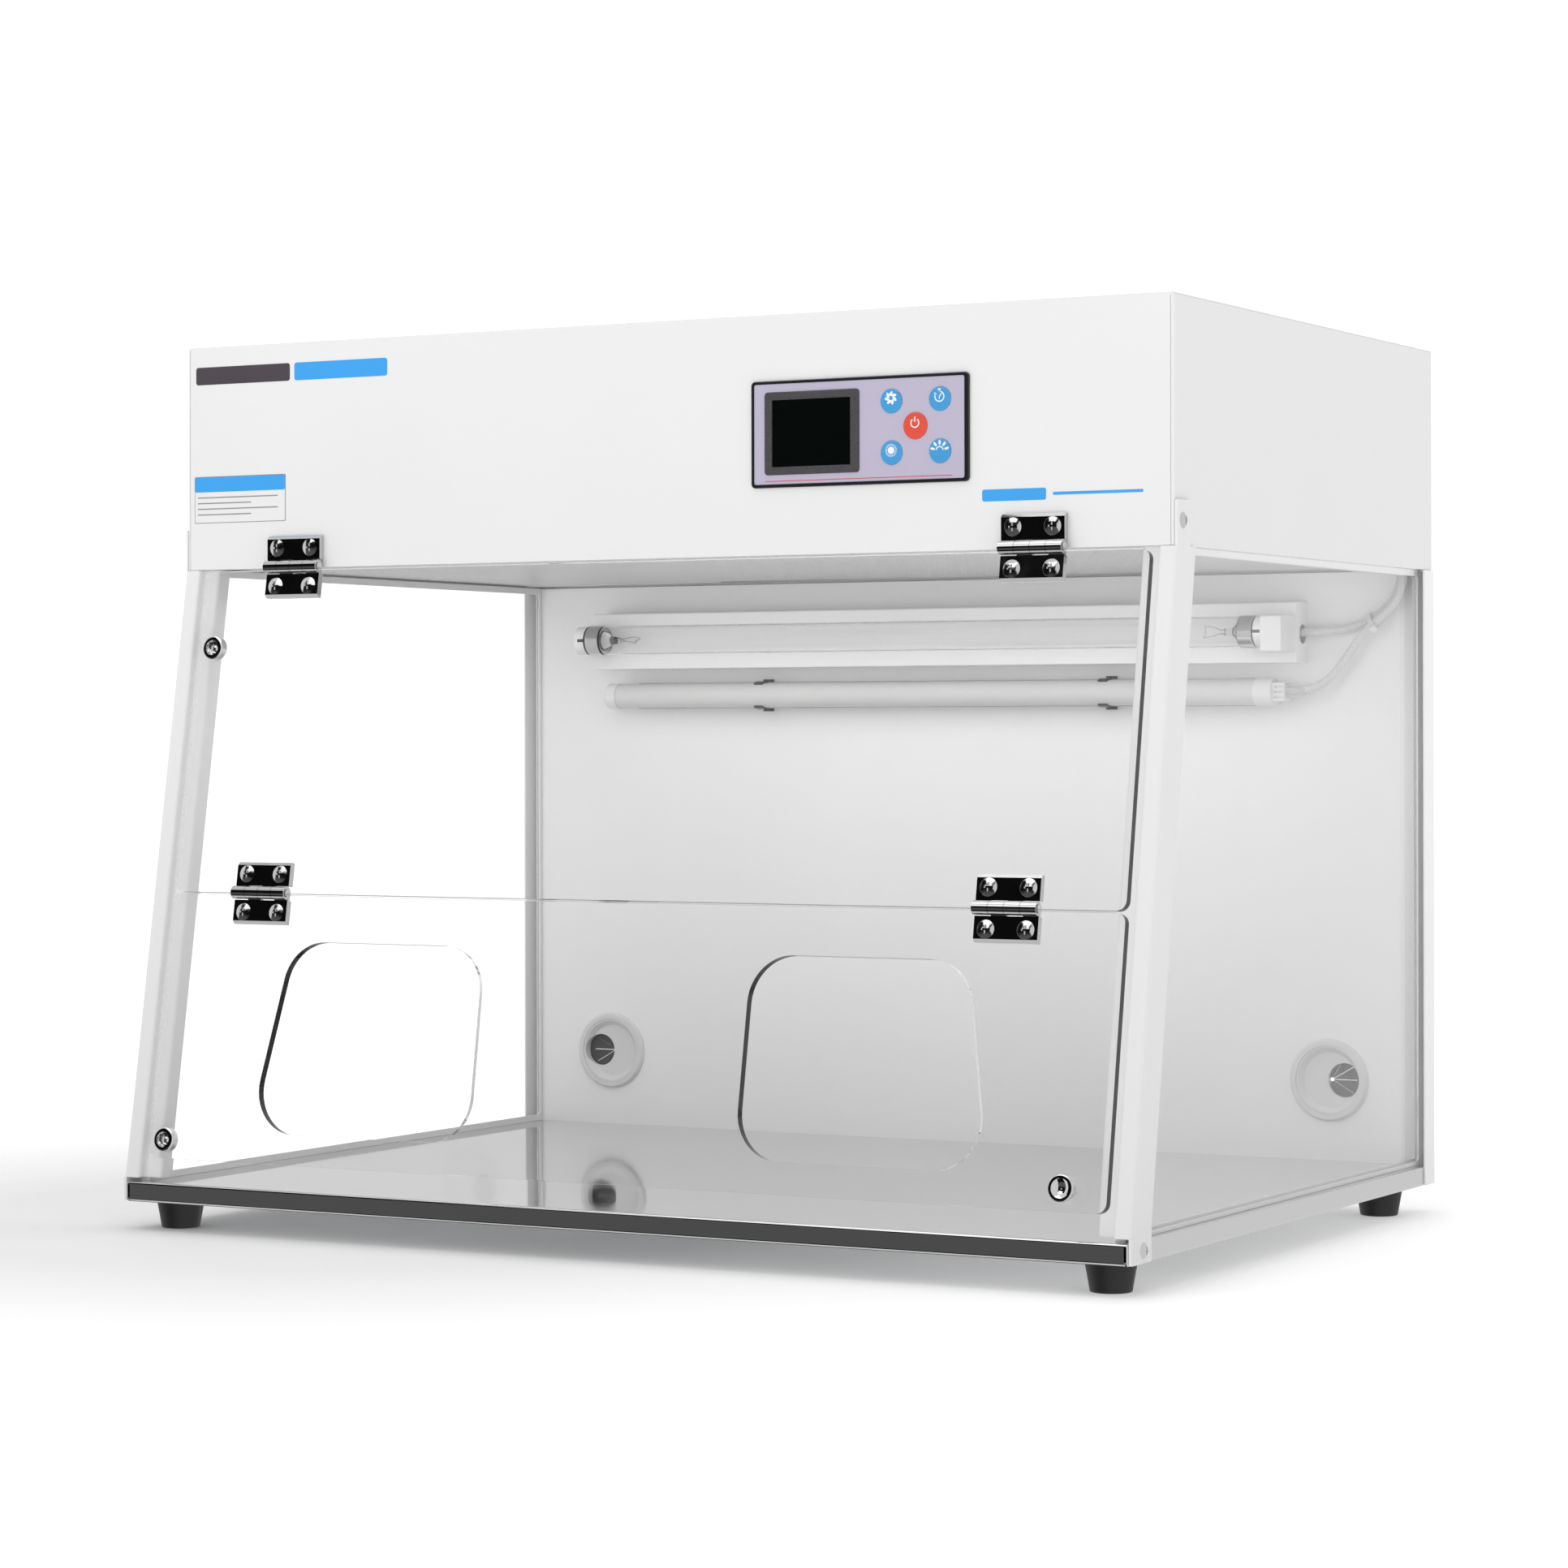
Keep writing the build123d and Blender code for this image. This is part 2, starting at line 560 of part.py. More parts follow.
def uv_lampholders():
    y, z = UV_AXIS
    left = rod((-321.0, y, z), (-311.1, y, z), 11.5) + block((-320.5, -312), (y, 447.9), (z - 7, z + 7))
    right = rod((274.4, y, z), (283.0, y, z), 12.0)
    right += block((281.5, 298.0), (y - 12, 447.9), (400.0, 427.5))
    right = fillet(right.edges().filter_by(Axis.X).group_by(Axis.Y)[0], 2.0)
    return group([left, right])


def led_tube():
    y, z = LED_AXIS
    return rod((-298.5, y, z), (263.5, y, z), 10.0)


def led_end_caps():
    y, z = LED_AXIS
    left = rod((-298.6, y, z), (-309.0, y, z), 10.6)
    left = fillet(left.edges().sort_by(Axis.X)[0], 2.0)
    right = rod((263.6, y, z), (278.0, y, z), 10.6)
    plug = block((277.5, 288.0), (y - 6.0, y + 6.0), (z - 7.0, z + 7.0))
    for offset in (-4.0, 0.0, 4.0):
        plug -= block((280, 289), (y - 6.5, y - 4.6), (z + offset - 0.8, z + offset + 0.8))
    return group([left, right + plug])


def led_clips():
    """Spring clips that hold the light tube to the back wall."""
    y, z = LED_AXIS
    clips = []
    for x in (-165.0, 141.0):
        ring = rod((x - 4, y, z), (x + 4, y, z), 11.3) - rod((x - 5, y, z), (x + 5, y, z), 10.1)
        ring -= block((x - 6, x + 6), (y - 12, y - 5.5), (z - 13, z + 13))
        foot = block((x - 4, x + 4), (y + 10.4, WALL_FACE - 0.05), (z - 13, z + 13))
        clips.append(ring + foot)
    return group(clips)


LEAD_R = 3.0


def lead(points, share=0.45):
    """Sleeved lead along straight runs joined by the largest arcs that the runs allow."""
    points = [Vector(*p) for p in points]
    radii = []
    for a, b, c in zip(points, points[1:], points[2:]):
        turn = (b - a).get_angle(c - b)
        radii.append(share * min((b - a).length, (c - b).length) / tan(radians(turn) / 2))
    path = FilletPolyline(*points, radius=radii)
    print("lead radii", [round(r, 1) for r in radii], "length", round(path.length, 1))
    start = Plane(origin=points[0], z_dir=points[1] - points[0])
    return sweep(start * Circle(LEAD_R), path=path)


UV_LEAD = [
    (286.0, 463.7, 415.5), (304.0, 463.7, 415.5), (324.0, 464.2, 416.0), (343.5, 466.6, 419.6),
    (362.0, 467.0, 430.4), (372.6, 467.0, 441.5), (376.4, 467.0, 457.0), (377.2, 467.0, 478.0),
    (376.6, 467.0, 502.0), (377.0, 467.0, 527.0), (376.4, 467.0, 551.0), (375.9, 467.0, 573.5),
    (362.0, 467.0, 588.0), (344.05, 467.0, 588.0),
]
LED_LEAD = [
    (288.05, 458.0, 371.0), (303.0, 458.0, 371.0), (319.0, 459.5, 376.5), (333.5, 461.0, 394.0),
    (347.7, 461.0, 414.4), (363.3, 460.6, 427.0), (375.8, 460.6, 438.6), (380.6, 460.6, 455.5),
    (381.2, 460.6, 480.0), (380.8, 460.6, 505.0), (381.0, 460.6, 528.0), (366.9, 460.6, 542.0),
    (344.05, 460.6, 542.0),
]
TIED_RUNS = ((UV_LEAD[3], UV_LEAD[4]), (LED_LEAD[4], LED_LEAD[5]))


def lamp_leads():
    return group([lead(UV_LEAD), lead(LED_LEAD)])


def cable_tie():
    """Band round both leads where they run side by side, with its square lock."""
    uv, led = [(Vector(*a) + Vector(*b)) / 2 for a, b in TIED_RUNS]
    along = sum(((Vector(*b) - Vector(*a)).normalized() for a, b in TIED_RUNS), Vector(0, 0, 0))
    place = Plane(origin=(uv + led) / 2, x_dir=led - uv, z_dir=along)
    clear, band = LEAD_R + 0.45, 1.1
    spread = (led - uv).length + 2 * clear
    ring = SlotOverall(spread + 2 * band, 2 * (clear + band)) - SlotOverall(spread, 2 * clear)
    tie = place * extrude(ring, 1.8, both=True)
    return tie + place * Pos(spread / 2 + band + 1.6, 0, 0) * Box(4.0, 5.0, 5.0)


# ---- cable grommets -----------------------------------------------------------------
def grommet_rings():
    rings = []
    for x in (-GROMMET_X, GROMMET_X):
        ring = rod((x, WALL_FACE - 3.0, GROMMET_Z), (x, WALL_FACE - 0.05, GROMMET_Z), 31.3)
        ring = chamfer(ring.edges().sort_by(Axis.Y)[0], 1.6)
        ring += rod((x, WALL_FACE - 1, GROMMET_Z), (x, 486.0, GROMMET_Z), 28.4)
        ring -= rod((x, WALL_FACE - 5, GROMMET_Z), (x, 490, GROMMET_Z), 26.3)
        ring += rod((x, 476.6, GROMMET_Z), (x, 477.6, GROMMET_Z), 26.4)
        ring -= rod((x, WALL_FACE - 5, GROMMET_Z), (x, 490, GROMMET_Z), 24.6)
        rings.append(ring)
    return group(rings)


def grommet_brushes():
    """Slit rubber discs that close the grommets round a cable."""
    discs = []
    for x in (-GROMMET_X, GROMMET_X):
        disc = rod((x, 477.7, GROMMET_Z), (x, 478.7, GROMMET_Z), 26.2)
        for i in range(6):
            slit = Pos(x, 478.2, GROMMET_Z) * Rot(0, i * 30, 0) * Box(40.0, 4.0, 0.4)
            disc -= slit
        disc -= rod((x, 470, GROMMET_Z), (x, 490, GROMMET_Z), 1.5)
        discs.append(disc)
    return group(discs)


def grommet_cap(x):
    """Turning cap with an opening off its centre, on the side away from the middle."""
    cap = rod((x, 469.6, GROMMET_Z), (x, 476.3, GROMMET_Z), 26.15)
    cap -= taper((x, 469.5, GROMMET_Z), (x, 473.6, GROMMET_Z), 24.8, 21.0)
    shift = GROMMET_HOLE_SHIFT if x > 0 else -GROMMET_HOLE_SHIFT
    return cap - rod((x + shift, 460, GROMMET_Z), (x + shift, 480, GROMMET_Z), 13.0)


# ---- door ---------------------------------------------------------------------------
def slope_pane(top, end):
    return plate_xz((-PANE_HALF, PANE_HALF), (0, PANE), (-end, -top), PANE_CORNER)


def on_slope(x, down, out=0.0):
    """Location on the door's front face, +Z of the location pointing out to the user."""
    return SLOPE * Pos(x, -out, -down) * FACE_FRONT


def leaf_screw_places(axis_down, way):
    """Centres of the leaf screws beside a hinge axis; way is +1 below it and -1 above."""
    return [
        (side * HINGE_X + dx, axis_down + way * LEAF_SCREW_REACH)
        for side in (-1, 1)
        for dx in (-LEAF_SCREW_X, LEAF_SCREW_X)
    ]


UPPER_SCREWS = leaf_screw_places(SLOPE_AXIS, 1) + leaf_screw_places(FOLD, -1)
LOWER_SCREWS = leaf_screw_places(FOLD, 1)
UPPER_MAGNET = (-364.0, 59.8)
LOWER_MAGNET = (-364.0, 2 * FOLD - 59.8)
KNOB = (353.0, 420.3)
MAGNET_R = 9.0
MAGNET_HEIGHT = 6.1


def drilled(pane, places):
    for x, down in places:
        pane -= rod((x, -1, -down), (x, PANE + 1, -down), 2.1)
    return pane


def upper_pane():
    return SLOPE * drilled(slope_pane(UPPER_TOP, UPPER_END), UPPER_SCREWS + [UPPER_MAGNET])


def arm_hole():
    """Right-hand arm hole: upright inner side, outer side leaning outwards lower down."""
    top, low = 274.5, 413.0
    corners = [(107.5, -top), (270.0, -top), (294.0, -low), (106.5, -low)]
    face = fillet(make_face(Polyline(*corners, close=True)).vertices(), 33.0)
    return Pos(0, PANE / 2, 0) * Rot(90, 0, 0) * extrude(face, PANE, both=True)


def lower_pane():
    pane = slope_pane(LOWER_TOP, LOWER_END)
    hole = arm_hole()
    pane = pane - hole - mirrored(hole)
    return SLOPE * drilled(pane, LOWER_SCREWS + [LOWER_MAGNET, KNOB])


def leaf(knuckles):
    """Hinge leaf above its axis: mounting face at y = 0, axis at z = 0, knuckles by number."""
    half = LEAF_WIDTH / 2
    body = block((-half, half), (-LEAF_THICK, -0.02), (LEAF_START, LEAF_REACH))
    edge = body.edges().filter_by(Axis.X).group_by(Axis.Z)[-1].sort_by(Axis.Y)[0]
    body = chamfer(edge, 2.2)
    gap, width = 0.3, LEAF_WIDTH / 4
    for number in knuckles:
        x0 = -half + number * width + (gap / 2 if number else 0)
        x1 = -half + (number + 1) * width - (gap / 2 if number < 3 else 0)
        body += rod((x0, -HINGE_OFFSET, 0), (x1, -HINGE_OFFSET, 0), BARREL_R)
        body += block((x0, x1), (-LEAF_THICK, -2.0), (0, LEAF_START + 1))
    body -= rod((-half - 1, -HINGE_OFFSET, 0), (half + 1, -HINGE_OFFSET, 0), PIN_R + 0.05)
    for x in (-LEAF_SCREW_X, LEAF_SCREW_X):
        body -= rod((x, -LEAF_THICK - 1, LEAF_SCREW_REACH), (x, 1, LEAF_SCREW_REACH), 2.15)
        mouth, throat = (x, -LEAF_THICK - 0.01, LEAF_SCREW_REACH), (x, -1.9, LEAF_SCREW_REACH)
        body -= taper(mouth, throat, 6.3, 2.15)
    return body


def pin():
    half = LEAF_WIDTH / 2
    shaft = rod((-half - 0.6, -HINGE_OFFSET, 0), (half + 0.6, -HINGE_OFFSET, 0), PIN_R)
    for side in (-1, 1):
        shaft += rod((side * (half + 0.3), -HINGE_OFFSET, 0), (side * (half + 1.1), -HINGE_OFFSET, 0), 2.9)
    return shaft


def hinge_pair(shape, down, raked=True):
    """A hinge piece at both hinge stations of one axis."""
    frame = SLOPE * Pos(0, 0, -down) if raked else Pos(0, 0, HEAD_AXIS_Z)
    return [frame * Pos(side * HINGE_X, 0, 0) * shape for side in (-1, 1)]


def above():
    return leaf((0, 2))


def below():
    return mirror(leaf((1, 3)), about=Plane.XY)


def leaf_screw(length):
    return cross_screw(6.2, 1.1, 2.0, length, sunk=2.9)


def pane_nut(x, down):
    """Cap nut on the chamber side of a pane."""
    return on_slope(x, down, -PANE - 0.05) * (dome_nut(4.0, 6.0) - rod((0, 0, 1), (0, 0, -4), 2.02))


def door_screws(places, magnet):
    """Oval-head hinge screws with cap nuts behind the pane, and the magnet's screw."""
    pieces = []
    for x, down in places:
        pieces.append(on_slope(x, down, LEAF_THICK) * leaf_screw(LEAF_THICK + PANE + 3.4))
        pieces.append(pane_nut(x, down))
    x, down = magnet
    pieces.append(on_slope(x, down, 2.6) * cross_screw(3.6, 1.6, 2.0, 2.6 + PANE + 3.0))
    pieces.append(pane_nut(x, down))
    return group(pieces)


def head_hinge_screws():
    screw = leaf_screw(LEAF_THICK + SHEET + 4.0)
    up = HEAD_AXIS_Z + LEAF_SCREW_REACH
    places = [side * HINGE_X + dx for side in (-1, 1) for dx in (-LEAF_SCREW_X, LEAF_SCREW_X)]
    return group([Pos(x, -LEAF_THICK, up) * FACE_FRONT * screw for x in places])


def magnet(place):
    ring = rod((0, 0, 0.05), (0, 0, MAGNET_HEIGHT), MAGNET_R)
    ring = fillet(ring.edges().sort_by(Axis.Z)[-1], 1.6)
    ring -= taper((0, 0, MAGNET_HEIGHT + 0.01), (0, 0, 2.55), 5.6, 4.4)
    ring -= rod((0, 0, -1), (0, 0, 4), 2.1)
    return on_slope(*place) * ring


def door_knob():
    """Flared pull knob with a dished face, held by a screw from behind the pane."""
    height = 11.4
    knob = taper((0, 0, 0.05), (0, 0, 5.2), 6.4, 4.8)
    knob += taper((0, 0, 5.2), (0, 0, 8.6), 4.8, 9.0) + rod((0, 0, 8.6), (0, 0, height), 9.0)
    knob = fillet(knob.edges().sort_by(Axis.Z)[-1], 1.0)
    knob -= Pos(0, 0, height + 8.4) * Sphere(10.6)
    stud = rod((0, 0, 1), (0, 0, -PANE - 3.0), 2.0)
    head = rod((0, 0, -PANE - 0.05), (0, 0, -PANE - 2.4), 4.2)
    return on_slope(*KNOB) * (knob + stud + head)


# ---- the whole object ---------------------------------------------------------------
def all_parts():
    right_post, right_frame, right_pane = post(), side_frame(), side_pane()
    parts = {
        "base_tray": base_tray(),
        "base_underframe": base_underframe(),
        "rubber_feet": rubber_feet(),
        "foot_screws": foot_screws(),
        "post_right": right_post,
        "post_left": mirrored(right_post),
        "post_screws": post_screws(),
        "side_frame_right": right_frame,
        "side_frame_left": mirrored(right_frame),
        "side_pane_right": right_pane,
        "side_pane_left": mirrored(right_pane),
        "back_panel": back_panel(),
        "head_shell": head_shell(),
        "prefilter_grille": prefilter_grille(),
        "prefilter": prefilter(),
        "diffuser_plate": diffuser_plate(),
        "hepa_frame": hepa_frame(),
        "hepa_media": hepa_media(),
        "fan_deck": fan_deck(),
        "fan_motor": fan_motor(),
        "fan_impeller": fan_impeller(),
        "control_bezel": control_bezel(),
        "control_face": control_face(),
        "lcd_frame": lcd_frame(),
        "lcd_module": lcd_module(),
        "control_pcb": control_pcb(),
        "power_supply": power_supply(),
        "uv_ballast": uv_ballast(),
        "power_inlet": power_inlet(),
        "lamp_batten": lamp_batten(),
        "uv_tube": uv_tube(),
        "uv_tube_caps": uv_tube_caps(),
        "uv_lampholders": uv_lampholders(),
        "led_tube": led_tube(),
        "led_end_caps": led_end_caps(),
        "led_clips": led_clips(),
        "lamp_leads": lamp_leads(),
        "cable_tie": cable_tie(),
        "grommet_rings": grommet_rings(),
        "grommet_brushes": grommet_brushes(),
        "grommet_cap_left": grommet_cap(-GROMMET_X),
        "grommet_cap_right": grommet_cap(GROMMET_X),
        "upper_pane": upper_pane(),
        "lower_pane": lower_pane(),
        "head_hinge_leaves": group(hinge_pair(above(), 0, raked=False)),
        "head_hinge_pins": group(hinge_pair(pin(), 0, raked=False)),
        "head_hinge_screws": head_hinge_screws(),
        "upper_door_leaves": group(hinge_pair(below(), SLOPE_AXIS) + hinge_pair(above(), FOLD)),
        "fold_hinge_pins": group(hinge_pair(pin(), FOLD)),
        "upper_door_screws": door_screws(UPPER_SCREWS, UPPER_MAGNET),
        "upper_magnet": magnet(UPPER_MAGNET),
        "lower_door_leaves": group(hinge_pair(below(), FOLD)),
        "lower_door_screws": door_screws(LOWER_SCREWS, LOWER_MAGNET),
        "lower_magnet": magnet(LOWER_MAGNET),
        "door_knob": door_knob(),
    }
    for name in BUTTONS:
        parts["button_" + name] = button(name)
    return parts


def to_origin(parts):
    """Shift that puts the bottom centre of the whole object at the origin."""
    boxes = [shape.bounding_box() for shape in parts.values()]
    front = min(box.min.Y for box in boxes)
    rear = max(box.max.Y for box in boxes)
    return Vector(0, -(front + rear) / 2, FOOT_HEIGHT)


def main():
    os.makedirs("parts", exist_ok=True)
    parts = all_parts()
    shift = to_origin(parts)
    print("datum shift", shift, "rake", round(RAKE, 4))
    print("head hinge axis", (0, -HINGE_OFFSET + shift.Y, HEAD_AXIS_Z + shift.Z))
    fold = (SLOPE * Pos(0, -HINGE_OFFSET, -FOLD)).position + shift
    print("fold hinge axis", fold)
    for name, shape in parts.items():
        export_step(Pos(*shift) * shape, "parts/" + name + ".step")


main()
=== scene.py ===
import json
from math import atan2, cos, pi, radians, sin

import bpy
from bpy.props import FloatProperty, FloatVectorProperty, IntProperty, PointerProperty
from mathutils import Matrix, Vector


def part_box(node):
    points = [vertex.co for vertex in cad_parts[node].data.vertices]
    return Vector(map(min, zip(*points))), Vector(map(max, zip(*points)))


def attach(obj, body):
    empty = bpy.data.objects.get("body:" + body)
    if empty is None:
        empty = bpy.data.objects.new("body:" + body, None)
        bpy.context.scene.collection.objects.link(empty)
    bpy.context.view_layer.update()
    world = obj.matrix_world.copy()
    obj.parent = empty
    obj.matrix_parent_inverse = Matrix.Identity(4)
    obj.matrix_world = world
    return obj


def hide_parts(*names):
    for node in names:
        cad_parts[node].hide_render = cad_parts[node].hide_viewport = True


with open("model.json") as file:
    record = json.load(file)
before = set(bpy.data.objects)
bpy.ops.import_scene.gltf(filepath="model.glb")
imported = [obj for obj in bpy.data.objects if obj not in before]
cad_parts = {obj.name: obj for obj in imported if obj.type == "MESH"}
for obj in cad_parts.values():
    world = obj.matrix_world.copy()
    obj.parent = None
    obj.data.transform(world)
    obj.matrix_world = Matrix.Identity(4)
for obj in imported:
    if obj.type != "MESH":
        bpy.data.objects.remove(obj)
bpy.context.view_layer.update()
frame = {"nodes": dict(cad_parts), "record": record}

bl_info = {
    "name": "Clean bench looks",
    "version": (1, 0, 0),
    "blender": (4, 5, 0),
    "location": "3D View > Sidebar > Bench",
    "description": "Finishes, lamp details, printed marks and studio for a desktop clean-air bench",
    "category": "Object",
}

MM = 0.001
nodes = frame["nodes"]
FACE_USER = (pi / 2, 0.0, 0.0)          # turns a flat primitive's front towards the user
PRINT_SINK = 0.01 * MM                  # how far a print starts inside the face that it lies on


# ---- places taken from the frame ----------------------------------------------------
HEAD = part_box("head_shell")
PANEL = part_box("control_face")
UV_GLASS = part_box("uv_tube")
LED_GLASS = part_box("led_tube")
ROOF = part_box("diffuser_plate")


def middle(node):
    """Centre of a node's box."""
    low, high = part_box(node)
    return (low + high) / 2


# ---- settings a user would change ---------------------------------------------------
def colour_setting(label, text, default):
    return FloatVectorProperty(
        name=label, description=text, subtype="COLOR", size=3, default=default, min=0.0, max=1.0,
    )


def length_setting(label, text, default, lowest, highest):
    """Length whose default and limits are given in millimetres."""
    return FloatProperty(
        name=label, description=text, unit="LENGTH",
        default=default * MM, min=lowest * MM, max=highest * MM,
    )


def level_setting(label, text, default, highest):
    return FloatProperty(name=label, description=text, default=default, min=0.0, max=highest)


class BenchFinishSettings(bpy.types.PropertyGroup):
    coat: colour_setting("Coat", "Colour of the powder coat outside", (0.80, 0.80, 0.80))
    # Painted light: the chamber coat is the outside white coat made lighter, standing in for the light that
    # the shaded chamber lacks.
    chamber_coat: colour_setting(
        "Chamber coat", "Colour of the powder coat inside the chamber", (0.90, 0.90, 0.90),
    )
    steel: colour_setting("Worktop", "Colour of the polished steel worktop", (0.76, 0.76, 0.76))
    film: colour_setting("Panel film", "Colour of the printed panel film", (0.50, 0.46, 0.585))
    key: colour_setting("Keys", "Colour of the four blue keys", (0.055, 0.34, 0.70))
    power_key: colour_setting("Power key", "Colour of the power key", (0.78, 0.085, 0.05))
    mark: colour_setting("Marks", "Blue of the printed stripes", (0.035, 0.36, 0.84))


class BenchSizeSettings(bpy.types.PropertyGroup):
    hole_pitch: length_setting(
        "Hole pitch", "Spacing of the holes in the roof of the chamber", 5.7, 4.0, 20.0,
    )
    hole_web: length_setting("Hole web", "Metal left round each hole", 1.1, 0.5, 3.0)
    print_depth: length_setting("Print", "Thickness of printed marks and labels", 0.12, 0.05, 0.5)
    fan_blades: IntProperty(
        name="Fan blades", description="Blades in the symbol on the fan key", default=7, min=3, max=12,
    )
    sleeve_radius: length_setting(
        "Lead sleeve", "Radius of the braided sleeves on the lamp leads", 3.1, 1.0, 5.0,
    )


class BenchStudioSettings(bpy.types.PropertyGroup):
    ambient: level_setting("Ambient", "Brightness of the surroundings", 0.53, 5.0)
    top_power: level_setting("Top light", "Power of the overhead softbox", 34.0, 1000.0)
    front_power: level_setting("Front light", "Power of the softbox in front", 12.0, 1000.0)
    fill_power: level_setting("Fill", "Power of the broad fill in front", 14.5, 1000.0)
    side_power: level_setting("Side fill", "Power of the broad fill at the side", 7.5, 1000.0)
    chamber_power: level_setting("Chamber fill", "Power of the soft light below the roof", 1.0, 50.0)


# ---- shared shader groups -----------------------------------------------------------
def new_group(name, inputs, outputs):
    """Empty shader group with float or vector inputs and outputs, and its end nodes."""
    group = bpy.data.node_groups.new(name, "ShaderNodeTree")
    for label, kind, value in inputs:
        socket = group.interface.new_socket(label, in_out="INPUT", socket_type=kind)
        socket.default_value = value
    for label in outputs:
        group.interface.new_socket(label, in_out="OUTPUT", socket_type="NodeSocketFloat")
    return group, group.nodes.new("NodeGroupInput"), group.nodes.new("NodeGroupOutput")


def grain_group():
    """Fine surface height and slow tone from the object's own coordinates."""
    inputs = (
        ("Scale", "NodeSocketFloat", 600.0),
        ("Stretch", "NodeSocketVector", (1.0, 1.0, 1.0)),
        ("Tone Scale", "NodeSocketFloat", 7.0),
    )
    group, start, end = new_group("surface_grain", inputs, ("Height", "Tone"))
    place = group.nodes.new("ShaderNodeTexCoord")
    turn = group.nodes.new("ShaderNodeMapping")
    fine = group.nodes.new("ShaderNodeTexNoise")
    slow = group.nodes.new("ShaderNodeTexNoise")
    fine.inputs["Detail"].default_value = 3.0
    slow.inputs["Detail"].default_value = 2.0
    link = group.links.new
    link(place.outputs["Object"], turn.inputs["Vector"])
    link(start.outputs["Stretch"], turn.inputs["Scale"])
    link(turn.outputs["Vector"], fine.inputs["Vector"])
    link(start.outputs["Scale"], fine.inputs["Scale"])
    link(place.outputs["Object"], slow.inputs["Vector"])
    link(start.outputs["Tone Scale"], slow.inputs["Scale"])
    link(fine.outputs["Fac"], end.inputs["Height"])
    link(slow.outputs["Fac"], end.inputs["Tone"])
    return group


def speckle_group():
    """Moulded or cast texture: rounded cells in height, and their random tone."""
    inputs = (("Scale", "NodeSocketFloat", 1500.0),)
    group, start, end = new_group("cell_speckle", inputs, ("Height", "Tone"))
    place = group.nodes.new("ShaderNodeTexCoord")
    cells = group.nodes.new("ShaderNodeTexVoronoi")
    split = group.nodes.new("ShaderNodeSeparateColor")
    link = group.links.new
    link(place.outputs["Object"], cells.inputs["Vector"])
    link(start.outputs["Scale"], cells.inputs["Scale"])
    link(cells.outputs["Distance"], end.inputs["Height"])
    link(cells.outputs["Color"], split.inputs["Color"])
    link(split.outputs["Red"], end.inputs["Tone"])
    return group


def smudge_group():
    """Broad soft marks left by wiping and handling, as a mask."""
    inputs = (("Scale", "NodeSocketFloat", 9.0),)
    group, start, end = new_group("handling_marks", inputs, ("Mask",))
    place = group.nodes.new("ShaderNodeTexCoord")
    cloud = group.nodes.new("ShaderNodeTexNoise")
    edge = group.nodes.new("ShaderNodeMapRange")
    cloud.inputs["Detail"].default_value = 5.0
    cloud.inputs["Distortion"].default_value = 0.6
    edge.inputs["From Min"].default_value = 0.45
    edge.inputs["From Max"].default_value = 0.7
    link = group.links.new
    link(place.outputs["Object"], cloud.inputs["Vector"])
    link(start.outputs["Scale"], cloud.inputs["Scale"])
    link(cloud.outputs["Fac"], edge.inputs["Value"])
    link(edge.outputs["Result"], end.inputs["Mask"])
    return group


def braid_group():
    """Crossing strands of a braided sleeve from the piece's own UV map."""
    inputs = (
        ("Along", "NodeSocketFloat", 110.0),
        ("Round", "NodeSocketFloat", 7.0),
    )
    group, start, end = new_group("sleeve_braid", inputs, ("Height",))
    place = group.nodes.new("ShaderNodeTexCoord")
    split = group.nodes.new("ShaderNodeSeparateXYZ")
    link = group.links.new
    link(place.outputs["UV"], split.inputs["Vector"])

    def maths(kind, first, second):
        node = group.nodes.new("ShaderNodeMath")
        node.operation = kind
        for socket, value in zip(node.inputs, (first, second)):
            if isinstance(value, (int, float)):
                socket.default_value = value
            else:
                link(value, socket)
        return node.outputs["Value"]

    along = maths("MULTIPLY", maths("MULTIPLY", split.outputs["X"], start.outputs["Along"]), 2 * pi)
    around = maths("MULTIPLY", maths("MULTIPLY", split.outputs["Y"], start.outputs["Round"]), 2 * pi)
    one_way = maths("SINE", maths("ADD", along, around), 0.0)
    other_way = maths("SINE", maths("SUBTRACT", along, around), 0.0)
    link(maths("MAXIMUM", one_way, other_way), end.inputs["Height"])
    return group


